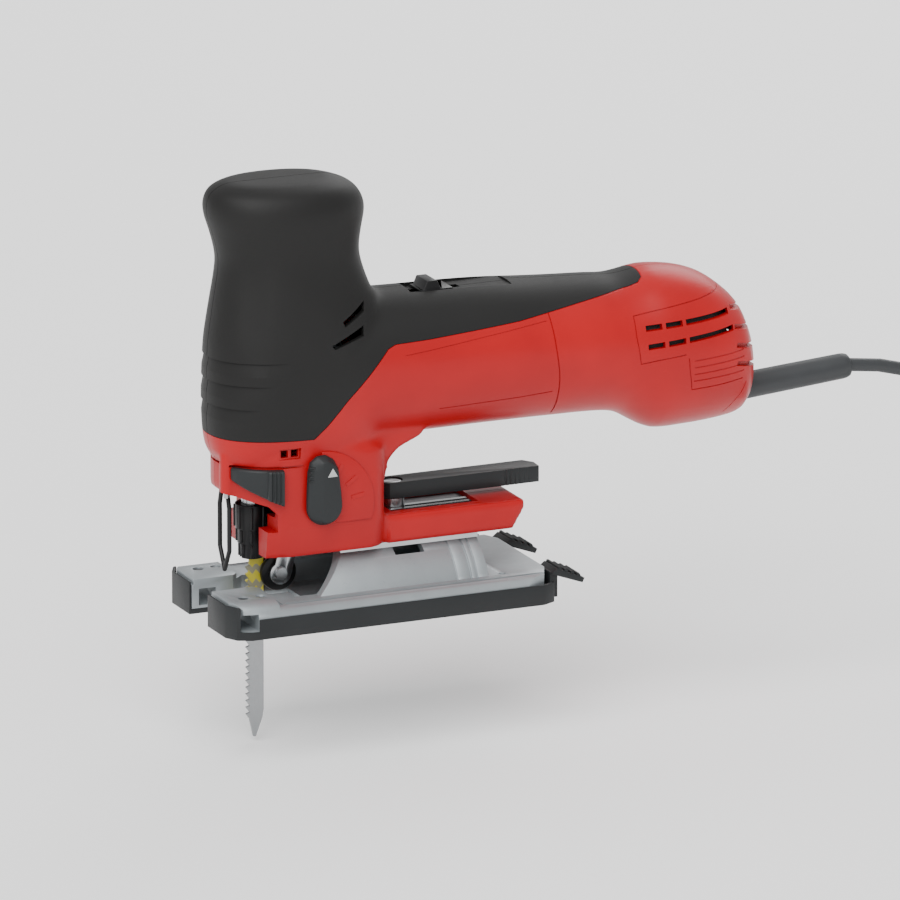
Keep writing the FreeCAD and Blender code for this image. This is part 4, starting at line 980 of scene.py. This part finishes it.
def roller_arm():
    """The fork of the guide roller with a round washer over each end of its pin."""
    bm = copy_of("roller_fork")
    rounded(bm, 0.3 * MM)
    low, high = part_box("guide_roller")
    centre = ((low.x + high.x) / 2 / MM, (low.z + high.z) / 2 / MM)
    for side in (-1, 1):
        made = bmesh.new()
        rod(made, "y", 4.5 * side, 5.1 * side, centre, 4.7, 48)
        soften(made, 0.2 * MM)
        mesh = bpy.data.meshes.new("washer")
        made.to_mesh(mesh)
        made.free()
        bm.from_mesh(mesh)
        bpy.data.meshes.remove(mesh)
    return finished(bm, "roller_arm", "bright_steel", ["roller_fork"])


def cord_sleeve():
    """The smooth tapered sleeve round the cord where it leaves the housing."""
    bm = bmesh.new()
    start = Vector((226.0, 0.0, 75.7))
    line = Vector((283.6, 0.0, 80.2)) - start
    tilt = Vector((0, 0, 1)).rotation_difference(line).to_matrix().to_4x4()
    rings = []
    for share, radius in ((0.0, 5.95), (0.5, 5.8), (0.93, 5.65), (0.965, 5.5), (0.99, 5.0), (1.0, 4.3)):
        ring = []
        for step in range(48):
            t = 2 * math.pi * step / 48
            ring.append(start + line * share + tilt @ Vector((radius * math.cos(t), radius * math.sin(t), 0)))
        rings.append(ring)
    loft(bm, rings)
    bmesh.ops.recalc_face_normals(bm, faces=bm.faces)
    return finished(bm, "cord_sleeve", "cord_rubber", ["strain_relief"])


# ---- operators ---------------------------------------------------------------------------------

class JIGSAW_OT_finishes(bpy.types.Operator):
    """Make every material and give each CAD piece its finish"""
    bl_idname = "jigsaw.finishes"
    bl_label = "Finishes"

    def execute(self, context):
        make_materials()
        for node in frame["nodes"]:
            dress(node)
        return {"FINISHED"}


class JIGSAW_OT_shell(bpy.types.Operator):
    """Build the red motor housing and the soft grip, each in two halves"""
    bl_idname = "jigsaw.shell"
    bl_label = "Shell and soft grip"

    def execute(self, context):
        outer = outer_shell()
        shape_surface(outer)
        inner = inner_shell()
        grip = outer.copy()
        grip.data = outer.data.copy()
        context.scene.collection.objects.link(grip)
        wide_zone = cutter(lambda bm: grip_zone(bm, 0.1))
        zone = cutter(lambda bm: grip_zone(bm, -0.15))
        tools = shell_cutters() + [inner, wide_zone]
        cut_all(outer, tools)
        combine(grip, [zone], "INTERSECT")
        grip_tools = grip_cutters()
        cut_all(grip, grip_tools + [inner])
        if len(outer.data.polygons) < 5000 or len(grip.data.polygons) < 5000:
            raise RuntimeError("the shell could not be cut")
        split_sides(outer, "motor_housing", "red_shell", ["housing_{}"])
        split_sides(grip, "knob_grip", "soft_grip", ["soft_grip_{}"])
        discard(outer, grip, zone, *tools, *grip_tools)
        recess_floor()
        # dark sheet behind the motor vents: painted shade inside the slots
        vent_screen()
        return {"FINISHED"}


class JIGSAW_OT_base(bpy.types.Operator):
    """Build the cast base and its clip-on sole"""
    bl_idname = "jigsaw.base"
    bl_label = "Base"

    def execute(self, context):
        blocks = ["base_plate", "base_hub", "prong_left", "prong_right"]
        tools = []
        for node in blocks:
            bm = copy_of(node)
            bmesh.ops.remove_doubles(bm, verts=bm.verts, dist=0.002 * MM)
            tools.append(temporary(bm, node))
        combine(tools[0], tools[1:], "UNION")
        lines = base_lines()
        cut_all(tools[0], lines)
        bm = bmesh.new()
        bm.from_mesh(tools[0].data)
        rounded(bm, 0.4 * MM)
        finished(bm, "cast_base", "cast_base", blocks)
        discard(*tools, *lines)
        clip_on_sole()
        return {"FINISHED"}


class JIGSAW_OT_controls(bpy.types.Operator):
    """Build the levers, the selector, the switch slide and their small parts"""
    bl_idname = "jigsaw.controls"
    bl_label = "Levers and selector"

    def execute(self, context):
        rounded_piece("bevel_clamp_lever", "bevel_lever", radius=0.7 * MM)
        release_lever()
        selector_knob()
        rounded_piece("switch_thumb_slide", "switch_slider", "black_plastic", radius=0.4 * MM)
        selector_sector()
        rounded_piece("bevel_lever_screw", "lever_screw", radius=0.2 * MM)
        return {"FINISHED"}


class JIGSAW_OT_guides(bpy.types.Operator):
    """Build the clamp sleeve, roller and fork"""
    bl_idname = "jigsaw.guides"
    bl_label = "Blade clamp and guides"

    def execute(self, context):
        rounded_piece("clamp_sleeve_ribbed", "clamp_collar", radius=0.25 * MM)
        rounded_piece("roller_wheel", "guide_roller", radius=0.4 * MM)
        roller_arm()
        return {"FINISHED"}


ROUTE = [(284.0, 0.0, 80.2), (308.0, 0.0, 78.4), (330.0, -3.0, 64.0), (341.0, -8.0, 38.0),
         (345.0, -15.0, 8.0), (350.0, -24.0, -19.0), (369.0, -29.5, -34.5)]
COIL_MIDDLE = (395.0, 6.1)
COIL_RADII = (36.1, 30.1, 24.1)
COIL_LEVELS = (-36.0, -42.0, -48.0, -54.0)
CORD_DIAMETER = 6.0


def coil_points(per_turn=24):
    """The cord's turns, top layer first, working inwards and outwards by turns."""
    turns = []
    for layer, level in enumerate(COIL_LEVELS):
        radii = COIL_RADII if layer % 2 == 0 else COIL_RADII[::-1]
        turns += [(radius, level) for radius in radii]
    turns.append(turns[-1])
    points = []
    for step in range((len(turns) - 1) * per_turn + 1):
        turn, share = divmod(step / per_turn, 1.0)
        here = turns[int(turn)]
        after = turns[min(int(turn) + 1, len(turns) - 1)]
        inward = min(1.0, max(0.0, (share - 0.20) / 0.35))
        down = min(1.0, max(0.0, (share - 0.60) / 0.35))
        radius = here[0] + (after[0] - here[0]) * inward * inward * (3 - 2 * inward)
        level = here[1] + (after[1] - here[1]) * down * down * (3 - 2 * down)
        angle = 1.5 * math.pi + 2 * math.pi * step / per_turn
        points.append((COIL_MIDDLE[0] + radius * math.cos(angle) * 1.004,
                       COIL_MIDDLE[1] + radius * math.sin(angle) * 1.004, level))
    return points


class JIGSAW_OT_cord(bpy.types.Operator):
    """Lay the cord from its sleeve to the coil and the plug"""
    bl_idname = "jigsaw.cord"
    bl_label = "Cord"

    def execute(self, context):
        tail_y = COIL_MIDDLE[1] - COIL_RADII[0]
        tail = [(COIL_MIDDLE[0] + 12.0, tail_y, -54.0), (COIL_MIDDLE[0] + 24.0, tail_y, -54.0)]
        points = ROUTE + coil_points() + tail
        curve = bpy.data.curves.new("mains_cord", "CURVE")
        curve.dimensions = "3D"
        curve.bevel_depth = CORD_DIAMETER / 2 * MM
        curve.bevel_resolution = 4
        curve.use_fill_caps = True
        curve.resolution_u = 3
        spline = curve.splines.new("NURBS")
        spline.points.add(len(points) - 1)
        for knot, place in zip(spline.points, points):
            knot.co = (*(Vector(place) * MM), 1.0)
        spline.order_u = 3
        spline.use_endpoint_u = True
        curve.materials.append(MATERIALS["cord_rubber"])
        piece = bpy.data.objects.new("mains_cord", curve)
        context.scene.collection.objects.link(piece)
        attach(piece, BODY_OF["cord"])
        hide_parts("cord", "cord_coil", "cord_tail")
        cord_sleeve()
        bm = copy_of("plug_body")
        rounded(bm, 1.2 * MM, 25, 3)
        for vert in bm.verts:
            vert.co.z = max(vert.co.z, FLOOR_LEVEL * MM)
        finished(bm, "plug_moulding", "cord_rubber", ["plug_body"], 40)
        return {"FINISHED"}


class JIGSAW_OT_stage(bpy.types.Operator):
    """Set the floor, the lights and the camera"""
    bl_idname = "jigsaw.stage"
    bl_label = "Stage"

    def execute(self, context):
        bm = bmesh.new()
        bmesh.ops.create_grid(bm, x_segments=2, y_segments=2, size=12.0)
        bmesh.ops.translate(bm, verts=bm.verts, vec=(0, 0, (FLOOR_LEVEL - 0.3) * MM))
        mesh = bpy.data.meshes.new("studio_floor")
        bm.to_mesh(mesh)
        bm.free()
        mesh.materials.append(floor_finish())
        floor = bpy.data.objects.new("studio_floor", mesh)
        context.scene.collection.objects.link(floor)
        world = bpy.data.worlds.new("studio")
        world.use_nodes = True
        world.node_tree.nodes["Background"].inputs[0].default_value = (1.0, 1.0, 1.0, 1.0)
        world.node_tree.nodes["Background"].inputs[1].default_value = 0.78
        context.scene.world = world
        for name, kind, place, size, power in LIGHTS:
            light = bpy.data.lights.new(name, kind)
            light.energy = power
            if kind == "SUN":
                light.angle = math.radians(size)
            else:
                light.size = size
            lamp = bpy.data.objects.new(name, light)
            lamp.location = place
            lamp.rotation_euler = (LOOK_AT - Vector(place)).to_track_quat("-Z", "Y").to_euler()
            context.scene.collection.objects.link(lamp)
        lens = bpy.data.cameras.new("camera")
        lens.lens = 560.0
        lens.sensor_width = 36.0
        lens.clip_end = 100.0
        camera = bpy.data.objects.new("camera", lens)
        camera.location = CAMERA
        camera.rotation_euler = (LOOK_AT - Vector(CAMERA)).to_track_quat("-Z", "Y").to_euler()
        context.scene.collection.objects.link(camera)
        context.scene.camera = camera
        return {"FINISHED"}


LOOK_AT = Vector((0.0858, -0.01705, 0.06805))
CAMERA = (-2.2598, -5.3353, 1.6907)
LIGHTS = [
    ("sky_light", "SUN", (-1.6, -2.2, 4.2), 55.0, 3.0),
    ("key_light", "AREA", (-1.1, -1.6, 1.3), 1.0, 16.0),
    ("rear_light", "AREA", (1.5, 1.4, 1.3), 1.2, 16.0),
]


class JIGSAW_PT_panel(bpy.types.Panel):
    bl_idname = "JIGSAW_PT_panel"
    bl_label = "Jigsaw"
    bl_space_type = "VIEW_3D"
    bl_region_type = "UI"
    bl_category = "Jigsaw"

    def draw(self, context):
        for group in (context.scene.jigsaw_finish, context.scene.jigsaw_sizes):
            for name in group.bl_rna.properties.keys():
                if name not in ("rna_type", "name"):
                    self.layout.prop(group, name)
        for step in STEPS:
            self.layout.operator(step.bl_idname)


STEPS = (JIGSAW_OT_stage, JIGSAW_OT_finishes, JIGSAW_OT_cord, JIGSAW_OT_shell, JIGSAW_OT_base,
         JIGSAW_OT_controls, JIGSAW_OT_guides)
CLASSES = (JigsawFinish, JigsawSizes, *STEPS, JIGSAW_PT_panel)


def register():
    for made in CLASSES:
        bpy.utils.register_class(made)
    bpy.types.Scene.jigsaw_finish = bpy.props.PointerProperty(type=JigsawFinish)
    bpy.types.Scene.jigsaw_sizes = bpy.props.PointerProperty(type=JigsawSizes)


def unregister():
    del bpy.types.Scene.jigsaw_sizes
    del bpy.types.Scene.jigsaw_finish
    for made in reversed(CLASSES):
        bpy.utils.unregister_class(made)


def main():
    register()
    for step in STEPS:
        group, name = step.bl_idname.split(".")
        getattr(getattr(bpy.ops, group), name)()


if __name__ == "__main__":
    main()
